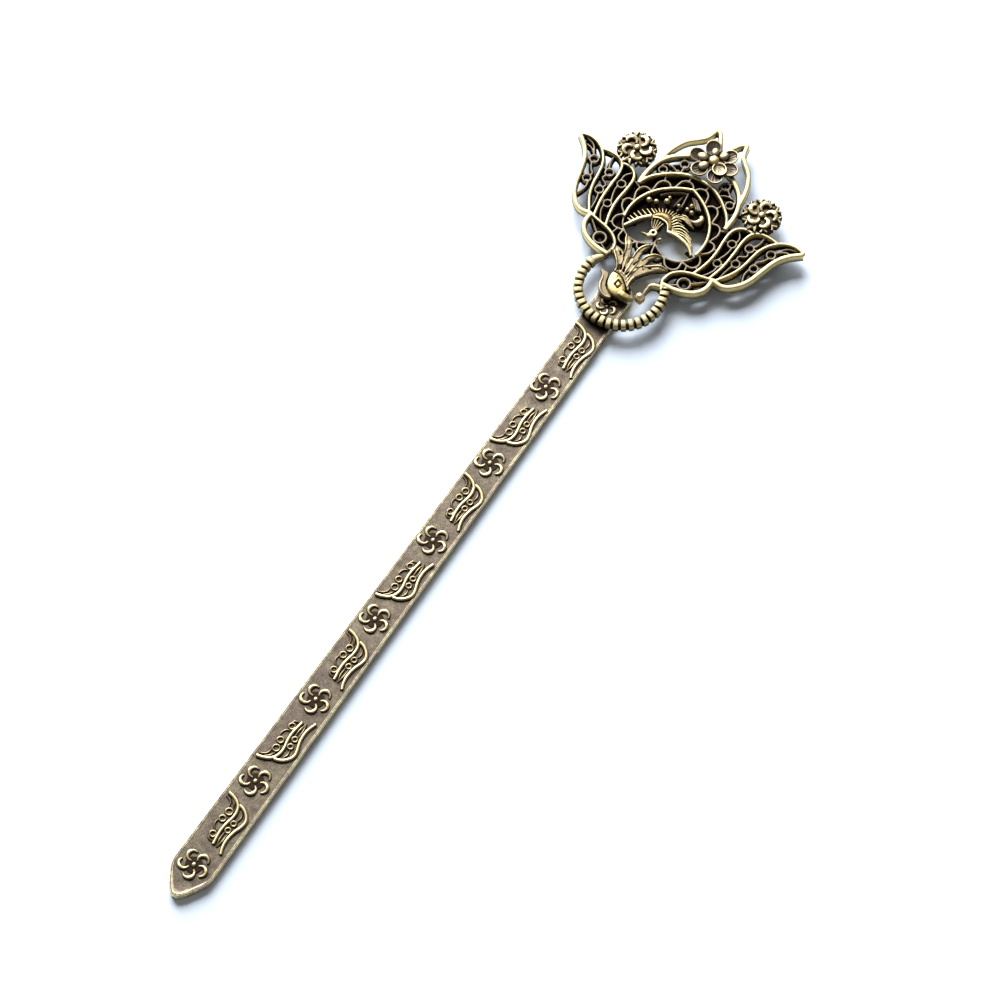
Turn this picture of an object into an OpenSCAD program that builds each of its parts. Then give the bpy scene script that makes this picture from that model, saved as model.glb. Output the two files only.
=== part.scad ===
// Cast metal hair stick with a pierced bird-and-flower head.
// The stick lies flat on its underside. Y runs from the point to the head, Z is up, and the
// origin is under the middle of the whole length. Places in the head are measured from the
// centre of its notched ring, and its frames are the same left and right, so their tables
// hold the right half.

/* [Blade] */
// Length from the point to the rounded end under the bird's head
blade_len = 139.8; // [134:0.1:142]
// Width just above the point
foot_w = 7.6; // [7.2:0.1:8.5]
// Width where the ring crosses the blade
neck_w = 5.8; // [5.6:0.1:6.4]
// Thickness of the blade over its rim
blade_t = 1.5; // [1.3:0.1:2.5]
// Length of the pointed end
point_len = 5.6; // [4:0.1:8]
// Width of the raised rim
rim_w = 0.4; // [0.3:0.05:0.6]
// Depth of the field inside the rim
field_depth = 0.2; // [0.1:0.05:0.4]
// Height of the cast relief above the field
relief_h = 0.4; // [0.2:0.05:0.6]
// Distance from flower to flower
flower_pitch = 18; // [17:0.1:18]
// Lean of the blade against the head in degrees
blade_lean = 0.38; // [0:0.02:0.6]

/* [Head] */
// Height of the ring's centre above the middle of the whole length
head_y = 50; // [48:0.5:52]
// Thickness of the heavy frames
frame_t = 1.7; // [1.3:0.1:2.5]
// Thickness of the fine rings and curls between the frames
fine_t = 1.1; // [0.8:0.1:1.2]
// Width of the heavy frame wires
wire_w = 0.75; // [0.6:0.05:0.9]
// Width of the fine wires
fine_w = 0.42; // [0.36:0.02:0.5]
// Middle radius of the notched ring
ring_r = 7.65; // [7.5:0.05:7.8]
// Width of the notched ring
ring_w = 1.55; // [1.4:0.05:1.7]
// Angle from notch to notch
notch_step = 9.65; // [9.5:0.05:9.8]

/* [Ornaments] */
// Radius of the round flowers beside the fans
rosette_r = 3.6; // [3.4:0.1:3.7]
// Reach of the blossom's outer petals
blossom_r = 4.8; // [4.2:0.1:5]
// Clear seam between one casting and the next
seam = 0.05; // [0.03:0.01:0.1]

/* [Hidden] */
bronze = [0.55, 0.47, 0.30];
pale_bronze = [0.72, 0.64, 0.42];
dark_bronze = [0.40, 0.35, 0.27];
head_z = blade_t + seam;
frame_top = head_z + frame_t;
fine_top = head_z + fine_t;
field_z = blade_t - field_depth;
col_x = 0;
col_y = 1;
col_r = 2;

// Catmull-Rom curve through hand-set points, with n steps between neighbours
function knot(p, i) = p[max(0, min(len(p) - 1, i))];
function spline_at(a, b, c, d, t) =
    0.5 * (2 * b + (c - a) * t + (2 * a - 5 * b + 4 * c - d) * t * t
    + (3 * b - a - 3 * c + d) * t * t * t);
function smooth(p, n) = concat(
    [for (i = [0:len(p) - 2], k = [0:n - 1])
        spline_at(knot(p, i - 1), p[i], p[i + 1], knot(p, i + 2), k / n)],
    [p[len(p) - 1]]);
function unit(v) = v / norm(v);
function heading(p, i) = unit(knot(p, i + 1) - knot(p, i - 1));
function left_of(v) = [-v[1], v[0]];
// Outline of a band along p whose width runs from w0 over w1 in its middle to w2
function width_at(u, w0, w1, w2) =
    u < 0.5 ? w0 + (w1 - w0) * 2 * u : w1 + (w2 - w1) * (2 * u - 1);
function band(p, w0, w1, w2) = let (m = len(p) - 1) concat(
    [for (i = [0:m]) p[i] + left_of(heading(p, i)) * width_at(i / m, w0, w1, w2) / 2],
    [for (i = [m:-1:0]) p[i] - left_of(heading(p, i)) * width_at(i / m, w0, w1, w2) / 2]);
// The same curve stopped short of its last point by d
function shorter(p, d) = let (m = len(p) - 1)
    [for (i = [0:m]) i < m ? p[i] : p[m] - unit(p[m] - p[m - 1]) * d];
function arc(c, r, a0, a1, n) = [for (i = [0:n])
    c + r * [cos(a0 + (a1 - a0) * i / n), sin(a0 + (a1 - a0) * i / n)]];

module wire(p, w, n = 2) polygon(band(smooth(p, n), w, w, w));
module taper(p, w0, w1, w2, n = 2) polygon(band(smooth(p, n), w0, w1, w2));
module dot(p, r) translate(p) circle(r = r, $fn = 8);
module hoop(c, r, w, sides = 12) translate(c) difference() {
    circle(r = r + w / 2, $fn = sides);
    circle(r = r - w / 2, $fn = sides);
}
module both_sides() for (s = [0, 1]) mirror([s, 0, 0]) children();
module place_head() translate([0, head_y, 0]) children();

// Blade
foot_y = -87.7;
foot_x = 0.42;
neck_flower_y = 133.9;
neck_flower_size = 0.68;
flower_first = 6.2;
flower_count = 7;
flower_x = -0.2;
arm_count = 5;
arm_r = 1.65;
arm_curl = 1.0;
// A flower of comma-shaped arms, each a curl whose centre lies off the flower's own
module pinwheel(size, turn) {
    circle(r = 0.5 * size, $fn = 8);
    for (k = [0:arm_count - 1]) rotate(turn + 360 / arm_count * k)
        polygon(band(arc([arm_r, 0] * size, arm_curl * size, 146, -50, 5),
                     0.35 * size, 0.7 * size, 0.4 * size));
}
// Two S-shaped stems joined at one end, with curls along them, from the sprig's own middle
stem_a = [[-2.7, 4.9], [-1.3, 4.5], [0.1, 3.5], [0.45, 1.5], [0.2, -1.8], [0.5, -4.3]];
stem_b = [[0.0, 3.9], [1.4, 3.4], [2.6, 2.4], [2.7, 0.7], [2.1, -2.2], [2.45, -5.2]];
stem_w = 0.42;
sprig_vein = [[-2.0, 4.2], [-1.5, 3.3], [-1.0, 2.2]];
sprig_curls = [[-0.45, 1.7, 0.45], [-0.75, 0.1, 0.55], [-0.7, -2.9, 0.5],
               [1.4, 0.4, 0.42], [1.2, -1.2, 0.42]];
curl_w = 0.26;
module sprig() {
    wire(stem_a, stem_w);
    wire(stem_b, stem_w);
    wire(sprig_vein, curl_w, 1);
    for (c = sprig_curls) hoop([c[col_x], c[col_y]], c[col_r], curl_w, 8);
}
module blade_plan(inset = 0) {
    half_foot = foot_w / 2 - inset;
    half_neck = neck_w / 2 - inset;
    polygon(concat([[0, inset * 1.3], [half_foot, point_len + inset * 0.5]],
        arc([0, blade_len - neck_w / 2], half_neck, 0, 180, 10),
        [[-half_foot, point_len + inset * 0.5]]));
}
module blade_relief() offset(delta = 0.01) {
    for (k = [0:flower_count - 1]) translate([flower_x, flower_first + k * flower_pitch])
        pinwheel(1, -16);
    translate([0, neck_flower_y]) pinwheel(neck_flower_size, -16);
    for (k = [0:flower_count - 1]) translate([0, flower_first + (k + 0.5) * flower_pitch])
        mirror([0, k % 2, 0]) sprig();
}
module blade() color(bronze) translate([foot_x, foot_y, 0]) rotate(blade_lean) {
    linear_extrude(field_z) blade_plan();
    linear_extrude(blade_t) difference() {
        blade_plan();
        blade_plan(rim_w);
    }
    linear_extrude(field_z + relief_h) blade_relief();
}

// Frames of the head, right half
fan_outer = [[23.4, 23.3], [21.4, 21.5], [20.1, 19.6], [19.05, 16.3], [18.2, 13.4],
             [16.8, 11.2], [14.9, 9.9], [12.7, 10.1]];
fan_second = [[23.3, 23.5], [21.4, 23.85], [19.4, 23.3], [17.8, 22.0], [16.6, 20.0],
              [16.1, 17.8], [15.8, 15.7], [15.0, 13.2], [13.2, 10.2]];
fan_third = [[18.3, 22.8], [16.5, 23.0], [14.9, 22.8], [13.7, 22.0], [13.1, 20.4],
             [13.0, 17.0], [12.8, 13.5], [12.1, 10.1]];
fan_inner = [[13.5, 22.2], [12.2, 22.2], [11.0, 21.6], [10.3, 20.5], [10.1, 18.5],
             [10.3, 15.0], [10.0, 12.2], [9.2, 9.4]];
leaf_top = [[12.8, 10.1], [10.8, 9.6], [8.6, 9.1], [6.8, 8.2], [5.7, 6.9], [5.35, 5.4],
            [6.2, 3.3]];
leaf_bottom = [[12.7, 10.2], [12.7, 8.2], [11.9, 6.6], [10.4, 5.5], [8.2, 4.8], [5.7, 4.6]];
crescent_outer = [[9.1, 20.2], [9.25, 22.0], [8.95, 24.8], [7.8, 27.4], [6.0, 29.2],
                  [3.4, 30.7], [-0.2, 31.3]];
crescent_inner = [[9.1, 20.2], [8.1, 22.3], [6.6, 23.9], [4.6, 25.4], [2.4, 26.4],
                  [-0.2, 26.7]];
ear_outer = [[8.6, 25.8], [8.3, 28.4], [7.6, 30.7], [6.5, 32.6], [5.0, 34.0], [4.0, 35.0],
             [3.5, 36.2], [3.15, 37.5]];
ear_inner = [[3.15, 37.5], [2.3, 37.0], [1.6, 36.0], [0.9, 34.6], [0.3, 33.4]];
ring_end = 31;
// Whole outline of the inner frame: a peach shape with its point up and a notch below
frame_half = [[0, 24.2], [2.0, 23.3], [4.0, 22.0], [5.8, 20.2], [7.1, 17.9], [7.7, 15.2],
              [7.5, 12.8], [6.4, 10.9], [4.2, 9.7], [2.0, 9.95], [0, 11.2]];
heavy_wires = [fan_outer, leaf_bottom, crescent_outer, ear_outer, ear_inner];
light_wires = [fan_second, fan_third, fan_inner, leaf_top, crescent_inner, frame_half];
wire_ends = [[23.35, 23.4], [3.15, 37.5], [9.1, 20.2], [12.7, 10.1], [5.7, 4.6]];
wire_meets = [[0, 24.2], [0, 11.2], [0, 31.3], [0, 26.7]];
scallops = [
    [[0.1, 24.4], [0.9, 25.3], [2.4, 25.2], [3.2, 23.0]],
    [[3.7, 22.6], [4.6, 23.3], [5.9, 22.9], [6.3, 20.4]],
    [[6.2, 20.1], [7.7, 20.3], [8.5, 19.1], [8.0, 16.9]],
    [[7.7, 16.7], [9.1, 16.5], [9.3, 15.1], [7.9, 13.5]],
    [[7.9, 13.4], [8.9, 12.0], [8.4, 10.5], [6.2, 10.4]],
    [[6.2, 10.3], [6.0, 8.6], [4.4, 8.1], [2.9, 9.6]],
    [[2.7, 9.7], [2.1, 8.7], [0.9, 8.8], [0.2, 10.9]]];
// Fine rings with their radius at mid-wire, and the curls that join them to the frames
hoops = [[18.55, 20.3, 0.78], [17.5, 16.2, 0.74], [14.7, 19.35, 0.78], [14.3, 15.3, 0.76],
         [11.6, 18.45, 0.76], [11.5, 13.65, 0.72], [8.8, 6.85, 1.12], [7.0, 25.1, 0.74],
         [4.3, 28.15, 0.78]];
curls = [
    [[21.8, 22.3], [20.2, 22.0], [19.0, 21.0]],
    [[22.0, 23.4], [20.4, 22.9], [19.0, 21.0]],
    [[18.6, 19.5], [18.0, 18.4], [17.2, 17.5], [17.3, 16.9]],
    [[16.9, 15.8], [16.7, 14.4], [17.5, 12.0]],
    [[19.3, 20.0], [20.1, 19.3]],
    [[18.1, 16.6], [19.0, 17.0]],
    [[15.2, 20.0], [15.7, 21.2], [15.8, 22.9]],
    [[14.9, 18.6], [15.1, 17.7], [13.9, 16.8], [14.0, 16.0]],
    [[14.0, 14.6], [13.6, 13.0], [13.4, 11.0]],
    [[15.4, 19.5], [16.3, 19.8]],
    [[12.1, 19.1], [12.1, 20.2], [11.1, 21.6]],
    [[12.0, 17.8], [11.9, 16.5], [11.2, 14.3]],
    [[11.9, 13.0], [11.7, 11.8], [10.4, 9.6]],
    [[10.3, 18.4], [11.0, 18.4]],
    [[12.2, 13.8], [12.9, 14.0]],
    [[12.3, 9.6], [9.8, 7.5]],
    [[8.0, 6.0], [6.0, 4.8]],
    [[4.2, 25.6], [5.3, 26.4], [7.4, 26.3], [7.6, 25.6]],
    [[4.0, 27.5], [4.0, 25.9]],
    [[4.9, 27.8], [6.6, 26.4]],
    [[6.4, 24.7], [6.3, 24.0]],
    [[4.8, 28.8], [5.2, 29.6]]];
// Short ties that hold the scallops to the frames around them
ties = [[[1.7, 25.3], [1.9, 26.4]], [[5.4, 23.2], [5.9, 24.4]], [[8.3, 19.6], [10.2, 20.4]],
        [[9.3, 15.8], [10.3, 15.8]], [[8.6, 10.9], [9.6, 10.4]], [[7.2, 10.4], [7.6, 8.7]]];
tie_w = 0.5;

// Twigs, hook and berries inside the top of the inner frame, right and left as they grow
twigs = [
    [[0.0, 24.0], [1.4, 22.9], [2.5, 22.2], [3.2, 21.0]],
    [[-0.4, 24.0], [-2.3, 22.5], [-3.7, 21.3], [-4.7, 20.0], [-5.6, 18.1]],
    [[-0.2, 23.9], [-0.4, 21.5], [-0.4, 19.1]],
    [[-0.3, 23.8], [-1.0, 21.5], [-1.1, 19.1]],
    [[-4.3, 20.6], [-4.4, 18.5]],
    [[-2.5, 22.4], [-2.5, 21.0], [-2.8, 19.5]],
    [[1.5, 22.9], [1.5, 21.1], [1.1, 20.1]],
    [[1.5, 21.1], [2.2, 19.9]],
    [[0, 11.1], [0.35, 12.2]]];
hook = [[3.1, 21.2], [4.0, 20.4], [4.5, 19.5], [4.0, 18.8], [2.9, 18.7]];
berries = [[-5.6, 18.1, 0.45], [-4.4, 18.5, 0.4], [-2.8, 19.5, 0.5], [1.45, 21.1, 0.34],
           [1.1, 20.05, 0.34], [2.15, 19.85, 0.36]];
// Bracket from the right leaf and the ball at its end, in front of the beak
bracket = [[6.2, 3.6], [4.6, 3.5], [3.95, 2.9], [3.95, 0.3]];
bracket_w = 0.55;
ball = [3.95, 0.1, 0.95];
// Low seats that carry the round flowers and the small bird from below
seat_t = 0.5;
rosette_x = 13.1;
rosette_y = 26.05;
rosette_arms = [[[13.1, 26.0], [13.0, 22.2]], [[13.1, 26.0], [9.2, 24.4]]];
bird_seats = [[[-6.9, 11.9], [-5.2, 13.2]], [[7.4, 12.5], [5.4, 13.0]],
              [[0, 11.0], [-0.8, 12.4]]];
seat_w = 0.9;

notch_count = 23;
notch_w = 0.28;
notch_depth = 0.5;
ring_centre = [0, 0.2];
module ring_part(w, a0, a1, n) polygon(band(arc(ring_centre, ring_r, a0, a1, n), w, w, w));
module ring_plan(w) ring_part(w, 180 - ring_end, 360 + ring_end, 36);
// One bead of the ring between two notches, the last on each side longer
module ring_beads(w) {
    half_gap = notch_w / ring_r * 90 / PI;
    first = 270 - notch_step * (notch_count - 1) / 2;
    for (k = [0:notch_count - 2])
        ring_part(w, first + notch_step * k + half_gap, first + notch_step * (k + 1) - half_gap, 1);
    ring_part(w, 180 - ring_end, first - half_gap, 2);
    ring_part(w, 540 - first + half_gap, 360 + ring_end, 2);
}
module frames_plan() offset(delta = 0.01) {
    both_sides() {
        for (p = heavy_wires) wire(p, wire_w);
        for (p = light_wires) wire(p, wire_w * 0.76);
        for (p = wire_ends) dot(p, wire_w / 2);
    }
    for (p = wire_meets) dot(p, wire_w * 0.38);
    wire(bracket, bracket_w);
}
module fine_plan() offset(delta = 0.01) {
    both_sides() {
        for (c = hoops) hoop([c[col_x], c[col_y]], c[col_r], fine_w);
        for (p = curls) wire(p, fine_w * 0.9);
        for (p = scallops) wire(p, fine_w, 3);
        for (p = ties) wire(p, tie_w, 1);
    }
    for (p = twigs) wire(p, fine_w * 0.8);
    taper(hook, 0.4, 0.9, 0.35);
}
module seats_plan() offset(delta = 0.01) {
    both_sides() {
        dot([rosette_x, rosette_y], 2.2);
        for (p = rosette_arms) wire(p, seat_w, 1);
    }
    for (p = bird_seats) wire(p, seat_w, 1);
}
module openwork_head() color(bronze) place_head() translate([0, 0, head_z]) {
    linear_extrude(frame_t) frames_plan();
    linear_extrude(fine_t) fine_plan();
    linear_extrude(seat_t) seats_plan();
    linear_extrude(frame_t - notch_depth) offset(delta = 0.01) ring_plan(ring_w);
    linear_extrude(frame_t) offset(delta = 0.01) ring_beads(ring_w - 0.1);
    for (b = berries) translate([b[col_x], b[col_y], fine_t]) sphere(r = b[col_r], $fn = 24);
    translate([ball[col_x], ball[col_y], 0]) {
        cylinder(r = ball[col_r], h = frame_t, $fn = 32);
        translate([0, 0, frame_t]) sphere(r = ball[col_r], $fn = 32);
    }
}

// Bird's head over the ring: outlines from the ring's centre
egg_outline = [[-2.7, 2.05], [-1.5, 2.0], [-0.5, 1.6], [0.5, 0.8], [1.0, 0.0], [1.1, -0.8],
               [0.7, -1.6], [-0.2, -2.0], [-1.3, -1.9], [-2.1, -1.1], [-2.5, 0.1], [-2.7, 1.1]];
beak_outline = [[0.6, 0.3], [1.5, -0.55], [3.0, -0.7], [2.95, -1.1], [2.2, -1.5], [0.6, -1.7]];
collar_outline = [[-4.9, 1.25], [-4.1, 1.3], [-3.4, 0.9], [-2.6, -0.5], [-2.2, -1.6],
                  [-1.2, -1.8], [0.4, -1.6], [0.3, -2.7], [-1.2, -3.0], [-2.5, -2.8],
                  [-3.4, -1.9], [-3.8, -0.8], [-4.1, 0.3]];
crest_outline = [[-2.7, 1.2], [-2.9, 3.2], [-3.1, 4.7], [-2.4, 5.6], [0.7, 5.5], [1.4, 4.8],
                 [0.8, 3.6], [0.5, 2.4], [0.6, 0.7], [-1.2, 0.4]];
// Crest feathers from root to tip, with their widths at the root, the middle and the tip
crest_feathers = [
    [[-2.0, 3.6], [-3.0, 5.0], [-4.1, 5.95], [-4.9, 6.45]],
    [[-1.6, 4.2], [-2.5, 6.2], [-3.6, 7.9], [-4.75, 9.25]],
    [[-0.8, 4.6], [-1.3, 6.7], [-1.1, 8.3], [-0.2, 10.2]],
    [[-0.2, 4.6], [0.4, 6.7], [1.2, 8.1], [2.7, 9.1]],
    [[0.3, 4.4], [1.4, 5.9], [2.9, 6.8], [5.0, 7.15]]];
feather_w = [1.5, 1.1, 0.4];
neck_z = field_z + relief_h + seam - head_z;
feather_z = fine_t + seam;
feather_t = frame_t - feather_z;
egg_top = 2.0;
egg_dome = [-0.8, -0.05, 1.75, 0.7];
eye = [-0.8, 0.0, 0.72];
module feathers_plan() offset(delta = 0.01) {
    polygon(crest_outline);
    for (p = crest_feathers) taper(p, feather_w[0], feather_w[1], feather_w[2]);
}
// Raised shaft lines along the feathers and the crest
module shafts_plan() offset(delta = 0.01) {
    for (p = crest_feathers) taper(shorter(p, 0.5), 0.5, 0.4, 0.2);
    for (k = [-2:1]) wire([[-0.7 + 0.3 * k, 2.2], [-0.9 + 0.55 * k, 4.6]], 0.22, 1);
}
module phoenix_head() color(pale_bronze) place_head() translate([0, 0, head_z]) {
    translate([0, 0, neck_z]) {
        linear_extrude(egg_top - neck_z) polygon(smooth(concat(egg_outline, [egg_outline[0]]), 1));
        linear_extrude(frame_t - 0.2 - neck_z) offset(delta = 0.01) polygon(beak_outline);
        linear_extrude(frame_t - 0.4 - neck_z) offset(delta = 0.01) polygon(collar_outline);
        linear_extrude(frame_t - 0.1 - neck_z) polygon(crest_outline);
    }
    translate([0, 0, feather_z]) {
        linear_extrude(feather_t) feathers_plan();
        linear_extrude(feather_t + 0.2) shafts_plan();
    }
    translate([egg_dome[0], egg_dome[1], egg_top - 0.3])
        scale([1, 1, egg_dome[3]]) sphere(r = egg_dome[2], $fn = 40);
    translate([eye[0], eye[1], egg_top]) linear_extrude(1.05) difference() {
        circle(r = eye[2], $fn = 4);
        circle(r = eye[2] * 0.5, $fn = 4);
    }
}

// Small flying bird inside the inner frame
wing_left = [[-6.1, 12.0], [-5.7, 12.9], [-5.0, 13.9], [-4.1, 14.7], [-3.1, 15.4]];
wing_right = [[0.9, 14.3], [2.2, 14.35], [3.7, 14.1], [5.0, 13.5], [5.9, 12.8], [6.5, 12.1]];
wing_rib_w = 0.55;
body_line = [[-3.4, 15.55], [-2.7, 16.5], [-1.5, 16.9], [-0.4, 16.5], [0.3, 15.6], [0.9, 14.2]];
right_vane = [[0.8, 14.4], [-0.2, 16.8], [0.6, 17.5], [1.7, 17.2], [3.0, 16.6], [4.1, 15.9],
              [5.0, 15.1], [5.7, 14.1], [6.3, 12.6], [5.9, 13.0], [3.7, 14.2]];
tail_vane = [[-2.2, 17.2], [-2.3, 18.1], [-0.7, 18.5], [0.9, 18.6], [2.5, 18.2], [4.1, 17.7],
             [4.0, 17.3], [2.4, 17.5], [0.2, 17.2]];
left_barbs = [[[-5.8, 12.9], [-6.7, 14.4], [-6.5, 15.3]], [[-5.3, 13.5], [-6.3, 14.1]],
              [[-4.9, 14.1], [-6.2, 14.8]], [[-4.4, 14.6], [-5.9, 15.5]],
              [[-4.0, 15.0], [-5.3, 16.1]], [[-3.5, 15.5], [-4.6, 16.7]],
              [[-3.0, 15.9], [-3.5, 17.0]]];
right_barbs = [[[1.1, 14.6], [3.0, 14.9], [4.8, 14.5], [6.2, 13.2]],
               [[0.9, 14.9], [2.6, 15.5], [4.2, 15.5], [5.6, 14.7]],
               [[0.7, 15.3], [1.9, 16.2], [3.2, 16.3], [4.5, 15.8]],
               [[0.5, 15.7], [1.4, 16.7], [2.3, 17.0], [3.2, 16.6]],
               [[0.2, 16.2], [0.7, 17.0], [1.2, 17.3], [1.8, 17.2]]];
tail_barbs = [[[-0.6, 17.3], [0.4, 18.2], [1.6, 18.4], [3.9, 17.6]],
              [[-1.2, 17.4], [-0.7, 18.4]], [[-1.9, 17.3], [-1.8, 18.1]]];
neck_outline = [[-3.2, 15.6], [-1.0, 15.9], [-0.8, 14.6], [-0.7, 12.6], [-1.0, 11.6],
                [-1.9, 11.6], [-2.3, 12.6], [-2.3, 13.6]];
neck_lines = [[[-2.9, 15.3], [-2.3, 14.4], [-1.9, 13.4]], [[-2.1, 15.5], [-1.9, 14.4]],
              [[-1.5, 15.5], [-1.5, 13.8]]];
crane_beak = [[-1.9, 12.3], [-2.8, 12.0], [-3.7, 11.9]];
crane_eye = [-1.35, 12.6];
crane_z = seat_t + seam;
crane_t = 1.0;
module crane() color(pale_bronze) place_head() translate([0, 0, head_z + crane_z]) {
    linear_extrude(crane_t - 0.3) offset(delta = 0.01) {
        for (p = left_barbs) taper(p, 0.5, 0.45, 0.35);
        polygon(right_vane);
        polygon(tail_vane);
        polygon(neck_outline);
        taper(crane_beak, 0.7, 0.5, 0.2);
    }
    linear_extrude(crane_t) offset(delta = 0.01) {
        wire(wing_left, wing_rib_w);
        wire(wing_right, wing_rib_w);
        for (p = concat(right_barbs, tail_barbs)) taper(p, 0.28, 0.26, 0.2);
        for (p = neck_lines) wire(p, 0.25);
    }
    linear_extrude(crane_t + 0.35) taper(body_line, 0.9, 1.7, 0.6);
    translate(crane_eye) difference() {
        cylinder(r = 0.75, h = crane_t + 0.1, $fn = 24);
        translate([0, 0, crane_t - 0.3]) cylinder(r = 0.4, h = 1, $fn = 24);
    }
}

// Blossom on the crescent: two layers of cupped petals and a ball
blossom_y = 31.0;
petal_count = 6;
// Each layer: distance of its petals from the middle, their radius, their height and their turn
petal_layers = [[3.35, 1.42, 0.55, 2], [2.1, 0.98, 0.95, 4]];
blossom_ball = 0.95;
module petal(r, h) difference() {
    cylinder(r = r, h = h, $fn = 32);
    translate([0, 0, h + r * 0.85]) sphere(r = r * 1.15, $fn = 32);
}
module blossom() color(pale_bronze)
    translate([0, head_y + blossom_y, frame_top + seam]) {
        cylinder(r = 2.4, h = 0.45, $fn = 32);
        for (layer = petal_layers) for (k = [0:petal_count - 1])
            rotate(layer[3] + 360 / petal_count * k)
                translate([layer[0] * blossom_r / 4.8, 0, 0]) petal(layer[1], layer[2]);
        translate([0, 0, 0.65]) scale([1, 1, 0.65]) sphere(r = blossom_ball, $fn = 32);
    }

// Round flower: a ring of lobes open at the foot, a second ring above it, two leaves that
// point down to the fan, and a pinwheel on top
lobe_first = -46;
lobe_step = 34;
inner_lobes = 10;
rosette_turn = 21;
sepal_x = [-0.55, 0.55];
sepal_z = frame_t - seat_t;
module rosette_body(flip) {
    lobe_r = rosette_r * 0.25;
    cylinder(r = rosette_r * 0.74, h = 1.5, $fn = 32);
    for (k = [0:8]) rotate(lobe_first + lobe_step * k)
        translate([rosette_r - lobe_r, 0, 0]) cylinder(r = lobe_r, h = 0.7, $fn = 24);
    for (k = [0:inner_lobes - 1]) rotate(360 / inner_lobes * k)
        translate([rosette_r * 0.68, 0, 0]) cylinder(r = lobe_r, h = 1.2, $fn = 24);
    translate([0, 0, sepal_z]) linear_extrude(0.4) offset(delta = 0.01)
        for (x = sepal_x) taper([[x * 0.3, -2.2], [x * 0.8, -3.0], [x * 1.4, -3.9]], 0.6, 0.6, 0.35);
    linear_extrude(2.0) offset(delta = 0.01)
        mirror([flip, 0, 0]) pinwheel(rosette_r / 3.9, rosette_turn);
}
module rosette_left() color(dark_bronze)
    translate([-rosette_x, head_y + rosette_y, head_z + seat_t + seam]) rosette_body(1);
module rosette_right() color(dark_bronze)
    translate([rosette_x, head_y + rosette_y, head_z + seat_t + seam]) rosette_body(0);

blade();
openwork_head();
phoenix_head();
crane();
blossom();
rosette_left();
rosette_right();
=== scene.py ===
from math import cos, pi, radians, sin

import bmesh
import bpy
import numpy as np
from mathutils import Matrix, Vector


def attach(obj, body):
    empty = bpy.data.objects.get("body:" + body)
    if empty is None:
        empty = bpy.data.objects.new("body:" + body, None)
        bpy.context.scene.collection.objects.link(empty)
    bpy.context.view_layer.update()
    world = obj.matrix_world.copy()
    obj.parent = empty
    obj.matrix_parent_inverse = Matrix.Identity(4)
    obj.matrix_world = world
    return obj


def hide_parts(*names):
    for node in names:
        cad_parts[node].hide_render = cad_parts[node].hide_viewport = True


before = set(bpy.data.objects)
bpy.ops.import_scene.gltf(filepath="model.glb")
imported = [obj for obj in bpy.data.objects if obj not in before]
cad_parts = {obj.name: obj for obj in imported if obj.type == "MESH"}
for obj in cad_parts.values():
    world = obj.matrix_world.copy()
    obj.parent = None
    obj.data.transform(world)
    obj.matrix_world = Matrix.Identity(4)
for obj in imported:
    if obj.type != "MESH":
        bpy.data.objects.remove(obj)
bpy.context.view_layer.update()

metre = 0.001  # every shape below is drawn in millimetres and scaled to metres at the end
weldGap = 0.0004  # points nearer than this are one


# Small tools
def mirrored(lines):
    return [[(-x, y) for x, y in line] for line in lines]


def bothSides(lines):
    return list(lines) + mirrored(lines)


def circleLine(x, y, radius, points=8):
    steps = [2 * pi * k / points for k in range(points)]
    return [(x + radius * cos(turn), y + radius * sin(turn)) for turn in steps]


def arcLine(x, y, radius, first, last, points=5):
    steps = [radians(first + (last - first) * k / (points - 1)) for k in range(points)]
    return [(x + radius * cos(turn), y + radius * sin(turn)) for turn in steps]


def turned(line, degrees, x=0.0, y=0.0, size=1.0, flip=1):
    c, s = cos(radians(degrees)), sin(radians(degrees))
    return [(x + flip * size * (px * c - py * s), y + size * (px * s + py * c)) for px, py in line]


def sweep(target, lines, width, low, high=None, taper=(1, 1, 1), closed=False, steps=4, flat=1.0):
    # Rods along the lines, or walls with round tops where high is given. Widths follow taper
    # from the start over the middle to the end, and flat squeezes the section's height.
    data = bpy.data.curves.new("sweep", "CURVE")
    data.dimensions = "3D"
    data.twist_mode = "Z_UP"
    data.bevel_depth = width / 2
    data.bevel_resolution = 2
    data.resolution_u = steps
    data.use_fill_caps = not closed
    middle = low
    if high is not None:
        data.extrude = max(0.0, (high - low - width * flat) / 2 / flat)
        middle = (low + high) / 2
    for line in lines:
        spline = data.splines.new("BEZIER")
        spline.bezier_points.add(len(line) - 1)
        spline.use_cyclic_u = closed
        for k, spot in enumerate(line):
            point = spline.bezier_points[k]
            point.co = (spot[0], spot[1], spot[2] if len(spot) > 2 else 0.0)
            point.handle_left_type = point.handle_right_type = "AUTO"
            share = 2 * k / max(1, len(line) - 1)
            if share <= 1:
                point.radius = taper[0] + (taper[1] - taper[0]) * share
            else:
                point.radius = taper[1] + (taper[2] - taper[1]) * (share - 1)
    holder = bpy.data.objects.new("sweep", data)
    bpy.context.collection.objects.link(holder)
    shape = holder.to_mesh()
    shape.transform(Matrix.Translation((0, 0, middle)) @ Matrix.Diagonal((1, 1, flat, 1)))
    target.from_mesh(shape)
    holder.to_mesh_clear()
    bpy.data.objects.remove(holder)
    bpy.data.curves.remove(data)


def plate(target, outline, low, high):
    corners = [target.verts.new((x, y, low)) for x, y in outline]
    base = target.faces.new(corners)
    grown = bmesh.ops.extrude_face_region(target, geom=[base])["geom"]
    tops = [v for v in grown if isinstance(v, bmesh.types.BMVert)]
    bmesh.ops.translate(target, verts=tops, vec=(0, 0, high - low))


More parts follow.
